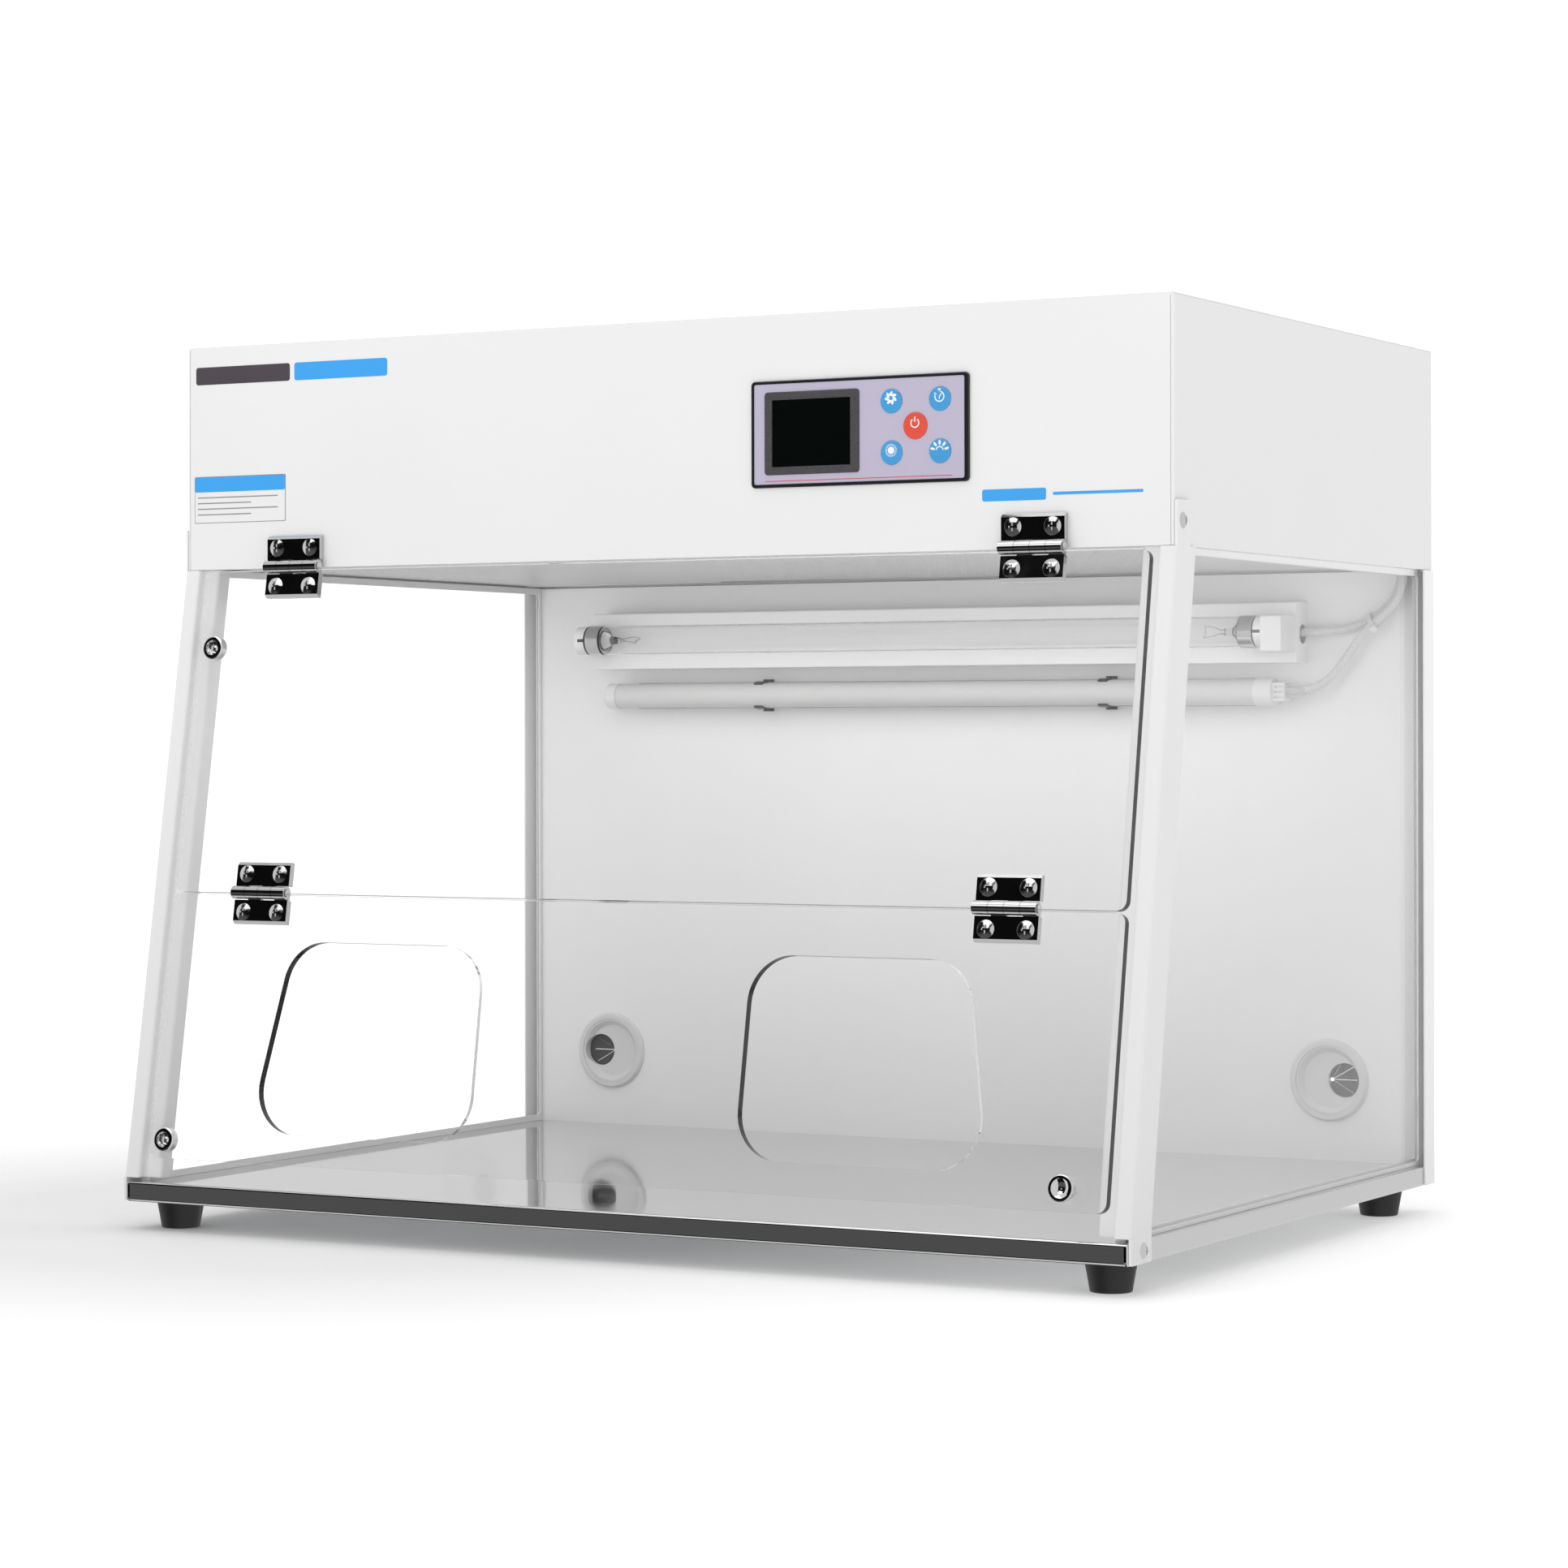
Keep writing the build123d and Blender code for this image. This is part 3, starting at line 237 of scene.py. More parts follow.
# ---- materials ----------------------------------------------------------------------
class Finish:
    """One material under construction: its Principled shader and the links into it."""

    def __init__(self, name, colour, roughness, metallic=0.0, **sockets):
        self.material = bpy.data.materials.new(name)
        self.material.use_nodes = True
        self.tree = self.material.node_tree
        self.shader = self.tree.nodes["Principled BSDF"]
        self.colour, self.roughness = colour, roughness
        self.put("Base Color", (*colour, 1.0))
        self.put("Roughness", roughness)
        self.put("Metallic", metallic)
        for label, value in sockets.items():
            self.put(label.replace("_", " "), value)

    def put(self, label, value):
        self.shader.inputs[label].default_value = value

    def add(self, kind, **values):
        node = self.tree.nodes.new(kind)
        for label, value in values.items():
            node.inputs[label.replace("_", " ")].default_value = value
        return node

    def group(self, name, **values):
        node = self.tree.nodes.new("ShaderNodeGroup")
        node.node_tree = bpy.data.node_groups[name]
        for label, value in values.items():
            node.inputs[label.replace("_", " ")].default_value = value
        return node

    def blend(self, mask, first, second, label):
        """The shader's input of that label runs from one colour to another as the mask grows."""
        mix = self.tree.nodes.new("ShaderNodeMix")
        mix.data_type = "RGBA"
        ends = [socket for socket in mix.inputs if socket.type == "RGBA"]
        ends[0].default_value = (*first, 1.0)
        ends[1].default_value = (*second, 1.0)
        result = [socket for socket in mix.outputs if socket.type == "RGBA"][0]
        self.tree.links.new(mask, mix.inputs["Factor"])
        self.tree.links.new(result, self.shader.inputs[label])
        return self

    def tint(self, mask, other):
        """Base colour runs from the finish's own colour to other as the mask grows."""
        return self.blend(mask, self.colour, other, "Base Color")

    def rough(self, mask, highest):
        """Roughness runs from the finish's own value to highest as the mask grows."""
        span = self.add("ShaderNodeMapRange", To_Min=self.roughness, To_Max=highest)
        self.tree.links.new(mask, span.inputs["Value"])
        self.tree.links.new(span.outputs["Result"], self.shader.inputs["Roughness"])
        return self

    def fade(self, axes, near, far, near_level, far_level):
        """Emission runs from one level to another with distance along the given axes."""
        place = self.tree.nodes.new("ShaderNodeTexCoord")
        keep = self.tree.nodes.new("ShaderNodeVectorMath")
        keep.operation = "MULTIPLY"
        keep.inputs[1].default_value = axes
        length = self.tree.nodes.new("ShaderNodeVectorMath")
        length.operation = "LENGTH"
        span = self.add("ShaderNodeMapRange", From_Min=near, From_Max=far)
        link = self.tree.links.new
        link(place.outputs["Object"], keep.inputs[0])
        link(keep.outputs["Vector"], length.inputs[0])
        link(length.outputs["Value"], span.inputs["Value"])
        return self.blend(span.outputs["Result"], (near_level,) * 3, (far_level,) * 3, "Emission Color")

    def bump(self, height, distance, strength=1.0):
        node = self.add("ShaderNodeBump", Distance=distance, Strength=strength)
        self.tree.links.new(height, node.inputs["Height"])
        self.tree.links.new(node.outputs["Normal"], self.shader.inputs["Normal"])
        return self

    def clear_to_lamps(self):
        """Shadow rays and diffuse rays go straight through the clear wall, slightly dimmed."""
        path = self.tree.nodes.new("ShaderNodeLightPath")
        either = self.tree.nodes.new("ShaderNodeMath")
        either.operation = "MAXIMUM"
        clear = self.tree.nodes.new("ShaderNodeBsdfTransparent")
        clear.inputs["Color"].default_value = (0.96, 0.96, 0.96, 1.0)
        mix = self.tree.nodes.new("ShaderNodeMixShader")
        output = self.tree.nodes["Material Output"]
        link = self.tree.links.new
        link(path.outputs["Is Shadow Ray"], either.inputs[0])
        link(path.outputs["Is Diffuse Ray"], either.inputs[1])
        link(either.outputs["Value"], mix.inputs[0])
        link(self.shader.outputs["BSDF"], mix.inputs[1])
        link(clear.outputs["BSDF"], mix.inputs[2])
        link(mix.outputs["Shader"], output.inputs["Surface"])
        return self


def darker(colour, share):
    return tuple(c * share for c in colour)


def powder_coat(name, colour, roughness=0.36):
    """Smooth semi-gloss powder coat with a faint orange peel."""
    coat = Finish(name, colour, roughness, Specular_IOR_Level=0.45)
    grain = coat.group("surface_grain", Scale=420.0)
    marks = coat.group("handling_marks", Scale=6.0)
    coat.tint(grain.outputs["Tone"], darker(colour, 0.965))
    coat.rough(marks.outputs["Mask"], roughness + 0.07)
    return coat.bump(grain.outputs["Height"], 0.00004, 0.35).material


def polished_steel(name, colour, roughness=0.045):
    """Bright steel sheet with a trace of grinding along X and wiping marks."""
    steel = Finish(name, colour, roughness, metallic=1.0)
    grain = steel.group("surface_grain", Scale=900.0, Stretch=(0.03, 1.0, 1.0))
    marks = steel.group("handling_marks", Scale=7.0)
    steel.tint(grain.outputs["Height"], darker(colour, 0.93))
    steel.rough(marks.outputs["Mask"], roughness + 0.05)
    return steel.bump(grain.outputs["Height"], 0.00001, 0.12).material


def bright_metal(name, colour, roughness, spread=0.04, cast=0.0):
    """Chrome, plating or ground metal; cast gives it the waviness of a die casting."""
    metal = Finish(name, colour, roughness, metallic=1.0)
    grain = metal.group("surface_grain", Scale=260.0)
    marks = metal.group("handling_marks", Scale=60.0)
    metal.tint(grain.outputs["Tone"], darker(colour, 0.9))
    metal.rough(marks.outputs["Mask"], roughness + spread)
    return metal.bump(grain.outputs["Height"], 0.00006, cast).material


def sheet_zinc(name, colour):
    """Galvanised sheet: crystals that differ in tone."""
    zinc = Finish(name, colour, 0.34, metallic=1.0)
    cells = zinc.group("cell_speckle", Scale=90.0)
    zinc.tint(cells.outputs["Tone"], darker(colour, 0.72))
    return zinc.rough(cells.outputs["Tone"], 0.5).material


def moulded(name, colour, roughness, scale=1500.0, depth=0.00005, spread=0.08, shade=0.85, **sockets):
    """Moulded plastic or rubber with a fine cast texture."""
    plastic = Finish(name, colour, roughness, **sockets)
    cells = plastic.group("cell_speckle", Scale=scale)
    grain = plastic.group("surface_grain", Scale=500.0, Tone_Scale=40.0)
    plastic.tint(grain.outputs["Tone"], darker(colour, shade))
    plastic.rough(cells.outputs["Tone"], roughness + spread)
    return plastic.bump(cells.outputs["Height"], depth, 0.5).material


def textured_bezel(name):
    """Black moulding round the display with a coarse sparkling grain."""
    bezel = Finish(name, (0.035, 0.031, 0.036), 0.42)
    cells = bezel.group("cell_speckle", Scale=2600.0)
    bezel.tint(cells.outputs["Tone"], (0.085, 0.078, 0.085))
    bezel.rough(cells.outputs["Tone"], 0.6)
    return bezel.bump(cells.outputs["Height"], 0.0001, 0.7).material


def clear_wall(name, colour, roughness=0.0, ior=1.49):
    """Clear acrylic or lamp glass with the faintest film of handling."""
    clear = Finish(name, colour, roughness, IOR=ior, Transmission_Weight=1.0)
    marks = clear.group("handling_marks", Scale=11.0)
    clear.tint(marks.outputs["Mask"], darker(colour, 0.992))
    return clear.clear_to_lamps().material


def frosted_tube(name):
    """Opal tube: soft, slightly lit through, with a streak of grain along it."""
    tube = Finish(name, (0.70, 0.70, 0.70), 0.38, Subsurface_Weight=0.15, Subsurface_Scale=0.004)
    grain = tube.group("surface_grain", Scale=800.0, Stretch=(0.05, 1.0, 1.0), Tone_Scale=18.0)
    tube.tint(grain.outputs["Tone"], (0.66, 0.66, 0.66))
    return tube.bump(grain.outputs["Height"], 0.00002, 0.3).material


def braided(name):
    """White braided sleeve, its strands raised and the gaps between them painted darker as shade."""
    sleeve = Finish(name, (0.60, 0.60, 0.60), 0.5, Sheen_Weight=0.25)
    braid = sleeve.group("sleeve_braid")
    # Painted shade: the sleeve's colour drops from 0.9 on the strands to 0.6 in the gaps between them.
    sleeve.tint(braid.outputs["Height"], (0.90, 0.90, 0.90))
    sleeve.rough(braid.outputs["Height"], 0.38)
    return sleeve.bump(braid.outputs["Height"], 0.0003, 0.8).material


def fibrous(name, colour, scale=350.0, stretch=(1.0, 1.0, 1.0)):
    """Filter paper or mat: felted fibres."""
    mat = Finish(name, colour, 0.9)
    grain = mat.group("surface_grain", Scale=scale, Stretch=stretch, Tone_Scale=60.0)
    mat.tint(grain.outputs["Height"], darker(colour, 0.7))
    return mat.bump(grain.outputs["Height"], 0.0005, 0.8).material


def circuit(name):
    """Green board with a maze of slightly lighter tracks."""
    board = Finish(name, (0.02, 0.12, 0.045), 0.4)
    cells = board.group("cell_speckle", Scale=420.0)
    board.tint(cells.outputs["Tone"], (0.04, 0.2, 0.07))
    return board.bump(cells.outputs["Height"], 0.00005, 0.5).material


def make_finishes(looks):
    """Every finish by the name of the material slot it serves."""
    for build in (grain_group, speckle_group, smudge_group, braid_group):
        build()
    white, inner_white = tuple(looks.coat), tuple(looks.chamber_coat)
    return {
        "white_coat": powder_coat("white_coat_finish", white),
        "chamber_coat": powder_coat("chamber_coat_painted_light_finish", inner_white),
        "diffuser_coat": powder_coat("diffuser_coat_finish", darker(white, 0.93), 0.3),
        "ballast_white": powder_coat("ballast_white_finish", darker(white, 0.95)),
        "tray_steel": polished_steel("tray_steel_finish", tuple(looks.steel)),
        "zinc_sheet": sheet_zinc("zinc_sheet_finish", (0.60, 0.61, 0.62)),
        "black_rubber": moulded("black_rubber_finish", (0.012, 0.012, 0.013), 0.48, depth=0.00008),
        "screw_steel": bright_metal("screw_steel_finish", (0.78, 0.78, 0.78), 0.09),
        "clear_acrylic": clear_wall("clear_acrylic_finish", (0.988, 0.988, 0.988)),
        "tube_glass": clear_wall("tube_glass_finish", (0.985, 0.985, 0.985), ior=1.47),
        "filter_frame_metal": bright_metal("filter_frame_finish", (0.7, 0.7, 0.71), 0.35),
        "filter_paper": fibrous("filter_paper_finish", (0.86, 0.86, 0.84)),
        "filter_mat": fibrous("filter_mat_finish", (0.62, 0.66, 0.72), scale=140.0),
        "motor_metal": bright_metal("motor_metal_finish", (0.42, 0.42, 0.43), 0.4, cast=0.4),
        "fan_plastic": moulded("fan_plastic_finish", (0.03, 0.03, 0.032), 0.45),
        "black_plastic": moulded("black_plastic_finish", (0.011, 0.012, 0.014), 0.27),
        "panel_film": moulded(
            "panel_film_finish", tuple(looks.film), 0.34, scale=2400.0, depth=0.00002, shade=0.955,
        ),
        "display_dark": moulded(
            "display_dark_finish", (0.002, 0.0035, 0.003), 0.05, depth=0.000001, spread=0.03,
        ),
        "circuit_board": circuit("circuit_board_finish"),
        "button_blue": moulded(
            "button_blue_finish", tuple(looks.key), 0.22, depth=0.00001, shade=0.92, Coat_Weight=0.4,
        ),
        "button_red": moulded(
            "button_red_finish", tuple(looks.power_key), 0.22, depth=0.00001, shade=0.92, Coat_Weight=0.4,
        ),
        "tube_cap_metal": bright_metal("tube_cap_finish", (0.74, 0.74, 0.74), 0.22),
        "white_plastic": moulded("white_plastic_finish", (0.80, 0.80, 0.80), 0.32, shade=0.97),
        "tube_diffuser": frosted_tube("tube_diffuser_finish"),
        "clip_dark": bright_metal("clip_dark_finish", (0.16, 0.16, 0.16), 0.3),
        "lead_sleeve": braided("lead_sleeve_finish"),
        "tie_nylon": moulded("tie_nylon_finish", (0.82, 0.82, 0.81), 0.35, Subsurface_Weight=0.2,
                             Subsurface_Scale=0.002),
        "grommet_plastic": moulded("grommet_plastic_finish", (0.72, 0.72, 0.725), 0.34, shade=0.97),
        "grommet_brush": moulded("grommet_brush_finish", (0.06, 0.06, 0.062), 0.6),
        "hinge_chrome": bright_metal("hinge_chrome_finish", (0.66, 0.66, 0.67), 0.04, cast=0.05),
        "pin_steel": bright_metal("pin_steel_finish", (0.74, 0.74, 0.74), 0.1),
        "bright_chrome": bright_metal("bright_chrome_finish", (0.82, 0.82, 0.82), 0.035),
        "display_bezel": textured_bezel("display_bezel_finish"),
        "stripe_blue": moulded("stripe_blue_finish", tuple(looks.mark), 0.4, depth=0.00001, shade=0.97),
        "stripe_dark": moulded("stripe_dark_finish", (0.075, 0.062, 0.075), 0.4, depth=0.00001),
        "line_red": moulded("line_red_finish", (0.66, 0.085, 0.10), 0.4, depth=0.00001),
        "symbol_white": moulded("symbol_white_finish", (0.90, 0.92, 0.95), 0.35, depth=0.00001),
        "rule_grey": moulded("rule_grey_finish", (0.28, 0.28, 0.29), 0.5, depth=0.00001),
    }


finishes = {}


# ---- modelling helpers --------------------------------------------------------------
def alone(piece=None):
    """Object mode with nothing selected, or with one piece selected and active."""
    if bpy.context.object and bpy.context.object.mode != "OBJECT":
        bpy.ops.object.mode_set(mode="OBJECT")
    bpy.ops.object.select_all(action="DESELECT")
    if piece:
        piece.select_set(True)
        bpy.context.view_layer.objects.active = piece
    return piece


def bake_place(piece):
    """Puts the piece's place, turn and scale into its mesh."""
    alone(piece)
    bpy.ops.object.transform_apply(location=True, rotation=True, scale=True)
    return piece


def edit_all(piece):
    alone(piece)
    bpy.ops.object.mode_set(mode="EDIT")
    bpy.ops.mesh.select_all(action="SELECT")


def outward(piece):
    """Merges doubles and turns every face outwards."""
    edit_all(piece)
    bpy.ops.mesh.remove_doubles(threshold=0.000001)
    bpy.ops.mesh.normals_make_consistent(inside=False)
    bpy.ops.object.mode_set(mode="OBJECT")
    return piece


def thicken(piece, depth):
    """Extrudes a flat piece towards the user into a closed plate."""
    bake_place(piece)
    edit_all(piece)
    bpy.ops.mesh.extrude_region_move(TRANSFORM_OT_translate={"value": (0.0, -depth, 0.0)})
    bpy.ops.object.mode_set(mode="OBJECT")
    return outward(piece)


def join(pieces):
    alone(pieces[0])
    for piece in pieces:
        piece.select_set(True)
    bpy.ops.object.join()
    return bpy.context.object


def settle(piece, name, body, slot, finish=None):
    """Names a finished piece, gives it its finish and lets it ride on its body."""
    bake_place(piece)
    piece.name = piece.data.name = name
    piece.data.materials.clear()
    piece.data.materials.append(finishes[finish or slot])
    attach(piece, body)
    return piece


def disc(centre, radius, sides=24, squash=1.0, lean=0.0):
    """Flat disc or oval facing the user, leaning about Y."""
    alone()
    bpy.ops.mesh.primitive_circle_add(
        vertices=sides, radius=radius, fill_type="NGON", location=centre,
        rotation=(pi / 2, lean, 0.0),
    )
    piece = bpy.context.object
    piece.scale = (squash, 1.0, 1.0)
    return bake_place(piece)


def bar(centre, width, height, lean=0.0, corner=0.0):
    """Flat bar facing the user; corner rounds its four corners."""
    alone()
    bpy.ops.mesh.primitive_plane_add(size=1.0, location=centre, rotation=(pi / 2, lean, 0.0))
    piece = bpy.context.object
    piece.scale = (width, height, 1.0)
    bake_place(piece)
    if corner:
        edit_all(piece)
        bpy.ops.mesh.bevel(offset=corner, segments=5, affect="VERTICES")
        bpy.ops.object.mode_set(mode="OBJECT")
    return piece


def arc(centre, radius, width, start, end, steps=32):
    """Flat ring facing the user, kept only between two angles measured from +X towards +Z."""
    alone()
    bpy.ops.mesh.primitive_circle_add(
        vertices=steps, radius=radius, fill_type="NOTHING", location=centre, rotation=FACE_USER,
    )
    piece = bake_place(bpy.context.object)
    span = (end - start) % (2 * pi)
    edit_all(piece)
    bpy.ops.mesh.select_all(action="DESELECT")
    bpy.ops.object.mode_set(mode="OBJECT")
    for vertex in piece.data.vertices:
        angle = atan2(vertex.co.z - centre[2], vertex.co.x - centre[0])
        vertex.select = (angle - start) % (2 * pi) > span
    bpy.ops.object.mode_set(mode="EDIT")
    bpy.ops.mesh.delete(type="VERT")
    bpy.ops.mesh.select_all(action="SELECT")
    bpy.ops.mesh.extrude_region_move()
    share = (radius - width) / radius
    bpy.ops.transform.resize(value=(share, share, share), center_override=tuple(centre))
    bpy.ops.object.mode_set(mode="OBJECT")
    return piece


def rod_piece(start, end, radius, end_radius=None, sides=12, cap="NGON"):
    """Rod or cone from start to end."""
    start, end = Vector(start), Vector(end)
    way = end - start
    turn = way.to_track_quat("Z", "Y").to_euler()
    alone()
    bpy.ops.mesh.primitive_cone_add(
        vertices=sides, radius1=radius, radius2=radius if end_radius is None else end_radius,
        depth=way.length, end_fill_type=cap, location=(start + end) / 2, rotation=turn,
    )
    return bake_place(bpy.context.object)


def rounded(piece, width, segments=2):
    """Bevels the piece's sharp edges and smooths the rest."""
    alone(piece)
    bevel = piece.modifiers.new("edges", "BEVEL")
    bevel.width = width
    bevel.segments = segments
    bevel.limit_method = "ANGLE"
    bpy.ops.object.modifier_apply(modifier=bevel.name)
    bpy.ops.object.shade_smooth_by_angle(angle=radians(40))
    return piece


def smooth_line(points, radius, name, sides=3, resolution=6):
    """Mesh tube along one smooth line with the points as its control points."""
    alone()
    bpy.ops.curve.primitive_nurbs_path_add()
    line = bpy.context.object
    data = line.data
    data.splines.clear()
    spline = data.splines.new("NURBS")
    spline.points.add(len(points) - 1)
    for point, place in zip(spline.points, points):
        point.co = (*place, 1.0)
    spline.order_u = 3
    spline.use_endpoint_u = True
    spline.resolution_u = resolution
    data.dimensions = "3D"
    data.bevel_depth = radius
    data.bevel_resolution = sides
    data.use_fill_caps = True
    line.location = (0.0, 0.0, 0.0)
    line.name = name
    alone(line)
    bpy.ops.object.convert(target="MESH")
    piece = bpy.context.object
    bpy.ops.object.shade_smooth()
    return piece


# ---- stage --------------------------------------------------------------------------
CAMERA_PLACE = (1.4725, -2.6704, 0.3576)
CAMERA_TURN = (pi / 2, radians(0.1), radians(28.94))
CAMERA_LENS = 94.7
CAMERA_SHIFT = -0.0305
SENSOR = 36.0
FLOOR_SIZE = 80.0
# Painted light on the floor: it glows, not at all within the first fade distance of this point and fully
# beyond the second. The point lies left of and in front of the bench's middle, so the floor's shade stays
# only near the bench and most to the front left.
FLOOR_CENTRE = (-0.3, -0.15, 0.0)
FLOOR_FADE = (0.3, 1.5)                 # the floor starts to glow, and glows fully, this far out
FLAG_CENTRE = (-1.75, -3.5, -1.0)
FLAG_TURN = (pi / 2, 0.0, radians(-27))
FLAG_SCALE = (4.4, 8.0, 1.0)
FLAG_FADE = (0.09, 0.18)                # in the flag's own unit height, from its middle
FLAG_GLOW = 0.09
WORLD_SEEN = 1.3                        # seen directly or through glass
WORLD_MIRRORED = 0.74                   # after one mirror bounce


class BENCH_OT_studio(bpy.types.Operator):
    """Camera, pale floor, soft lights and surroundings"""
    bl_idname = "bench.studio"
    bl_label = "Studio"

    def camera(self):
        alone()
        bpy.ops.object.camera_add(location=CAMERA_PLACE, rotation=CAMERA_TURN)
        camera = bpy.context.object
        camera.name = "camera"
        camera.data.sensor_width = SENSOR
        camera.data.lens = CAMERA_LENS
        camera.data.shift_y = CAMERA_SHIFT
        camera.data.clip_end = 60.0
        bpy.context.scene.camera = camera

    def floor(self):
        alone()
        bpy.ops.mesh.primitive_plane_add(size=FLOOR_SIZE, location=FLOOR_CENTRE)
        floor = bpy.context.object
        floor.name = "floor"
        pale = Finish("pale_floor", (0.93, 0.93, 0.93), 0.7, Emission_Strength=0.75)
        grain = pale.group("surface_grain", Scale=40.0, Tone_Scale=1.5)
        pale.tint(grain.outputs["Tone"], (0.92, 0.92, 0.92))
        pale.fade((1.0, 1.0, 0.0), *FLOOR_FADE, 0.0, 1.0)
        floor.data.materials.append(pale.material)
        floor.visible_glossy = floor.visible_transmission = False

    def dark_flag(self):
        """Black flag in front that only reflections see, a painted dark reflection, with a faint painted
        glow in a band across its middle.
        """
        alone()
        bpy.ops.mesh.primitive_plane_add(size=1.0, location=FLAG_CENTRE, rotation=FLAG_TURN)
        flag = bpy.context.object
        flag.name = "dark_flag"
        flag.scale = FLAG_SCALE
        black = Finish(
            "flag_black", (0.004, 0.004, 0.004), 1.0, Specular_IOR_Level=0.0, Emission_Strength=1.0,
        )
        grain = black.group("surface_grain", Scale=30.0)
        black.tint(grain.outputs["Tone"], (0.006, 0.006, 0.006))
        # Painted reflection: the band's faint glow shows only in mirrored surfaces such as the worktop's
        # front.
        black.fade((0.0, 1.0, 0.0), *FLAG_FADE, FLAG_GLOW, 0.0)
        flag.data.materials.append(black.material)
        flag.visible_camera = flag.visible_diffuse = flag.visible_shadow = False
        flag.visible_transmission = flag.visible_volume_scatter = False

    def softbox(self, name, place, aim, size, power):
        alone()
        way = Vector(aim) - Vector(place)
        bpy.ops.object.light_add(
            type="AREA", location=place, rotation=way.to_track_quat("-Z", "Y").to_euler(),
        )
        lamp = bpy.context.object
        lamp.name = name
        lamp.data.shape = "RECTANGLE"
        lamp.data.size, lamp.data.size_y = size
        lamp.data.energy = power
        return lamp

    def surroundings(self, ambient):
        """Even white world, brighter to camera, transmission and mirror rays than as a light."""
        world = bpy.data.worlds.new("surroundings")
        world.use_nodes = True
        bpy.context.scene.world = world
        tree = world.node_tree
        background = tree.nodes["Background"]
        background.inputs["Color"].default_value = (1.0, 1.0, 1.0, 1.0)
        path = tree.nodes.new("ShaderNodeLightPath")
        seen = tree.nodes.new("ShaderNodeMath")
        seen.operation = "MAXIMUM"
        bright = tree.nodes.new("ShaderNodeMapRange")
        bright.inputs["To Min"].default_value = WORLD_SEEN
        bright.inputs["To Max"].default_value = WORLD_MIRRORED
        either = tree.nodes.new("ShaderNodeMath")
        either.operation = "MAXIMUM"
        span = tree.nodes.new("ShaderNodeMapRange")
        span.inputs["To Min"].default_value = ambient
        link = tree.links.new
        link(path.outputs["Is Camera Ray"], seen.inputs[0])
        link(path.outputs["Is Transmission Ray"], seen.inputs[1])
        link(seen.outputs["Value"], either.inputs[0])
        link(path.outputs["Is Glossy Ray"], either.inputs[1])
        link(path.outputs["Glossy Depth"], bright.inputs["Value"])
        link(either.outputs["Value"], span.inputs["Value"])
        link(bright.outputs["Result"], span.inputs["To Max"])
        link(span.outputs["Result"], background.inputs["Strength"])

    def execute(self, context):
        studio = context.scene.bench_studio
        context.scene.view_settings.view_transform = "Standard"
        self.camera()
        self.floor()
        self.dark_flag()
        self.surroundings(studio.ambient)
        aim = (0.0, 0.0, 0.3)
        self.softbox("top_softbox", (-0.3, -0.2, 3.2), aim, (3.2, 3.0), studio.top_power)
        self.softbox("front_softbox", (-1.2, -3.2, 2.5), aim, (2.2, 1.4), studio.front_power)
        self.softbox("front_fill", (-0.5, -3.4, 0.75), aim, (3.0, 1.4), studio.fill_power)
        self.softbox("side_fill", (3.4, 0.6, 0.9), aim, (2.4, 1.4), studio.side_power)
        self.softbox("chamber_fill", (0.0, 0.0, 0.47), (0.0, 0.02, 0.0), (0.7, 0.36), studio.chamber_power)
        for name in ("front_fill", "side_fill", "chamber_fill"):
            fill = bpy.data.objects[name]
            fill.visible_glossy = fill.visible_transmission = fill.visible_camera = False
        return {"FINISHED"}


# ---- finishes on the carried-over parts ---------------------------------------------
class BENCH_OT_finishes(bpy.types.Operator):
    """Gives every part of the bench the finish of its material slot"""
    bl_idname = "bench.finishes"
    bl_label = "Finishes"

    def execute(self, context):
        finishes.update(make_finishes(context.scene.bench_finish))
        # Painted light: the back panel and lamp batten take the lighter chamber coat instead of the outside
        # coat.
        special = {
            "lcd_frame": "display_bezel", "back_panel": "chamber_coat", "lamp_batten": "chamber_coat",
        }
        for entry in frame["record"]["subparts"]:
            name = entry["node"]
            part = nodes[name]
            part.data.materials.clear()
            part.data.materials.append(finishes[special.get(name, entry["material_slot"])])
        return {"FINISHED"}


# ---- lamp leads ---------------------------------------------------------------------
UV_LEAD = [
    (286.0, 261.295, 436.0), (304.0, 261.295, 436.0), (324.0, 261.795, 436.5), (343.5, 264.195, 440.1),
    (362.0, 264.595, 450.9), (372.6, 264.595, 462.0), (376.4, 264.595, 477.5), (377.2, 264.595, 498.5),
    (376.6, 264.595, 522.5), (377.0, 264.595, 547.5), (376.4, 264.595, 571.5), (375.9, 264.595, 594.0),
    (362.0, 264.595, 608.5), (344.05, 264.595, 608.5),
]
LED_LEAD = [
    (288.05, 255.595, 391.5), (303.0, 255.595, 391.5), (319.0, 257.095, 397.0), (333.5, 258.595, 414.5),
    (347.7, 258.595, 434.9), (363.3, 258.195, 447.5), (375.8, 258.195, 459.1), (380.6, 258.195, 476.0),
    (381.2, 258.195, 500.5), (380.8, 258.195, 525.5), (381.0, 258.195, 548.5), (366.9, 258.195, 562.5),
    (344.05, 258.195, 562.5),
]


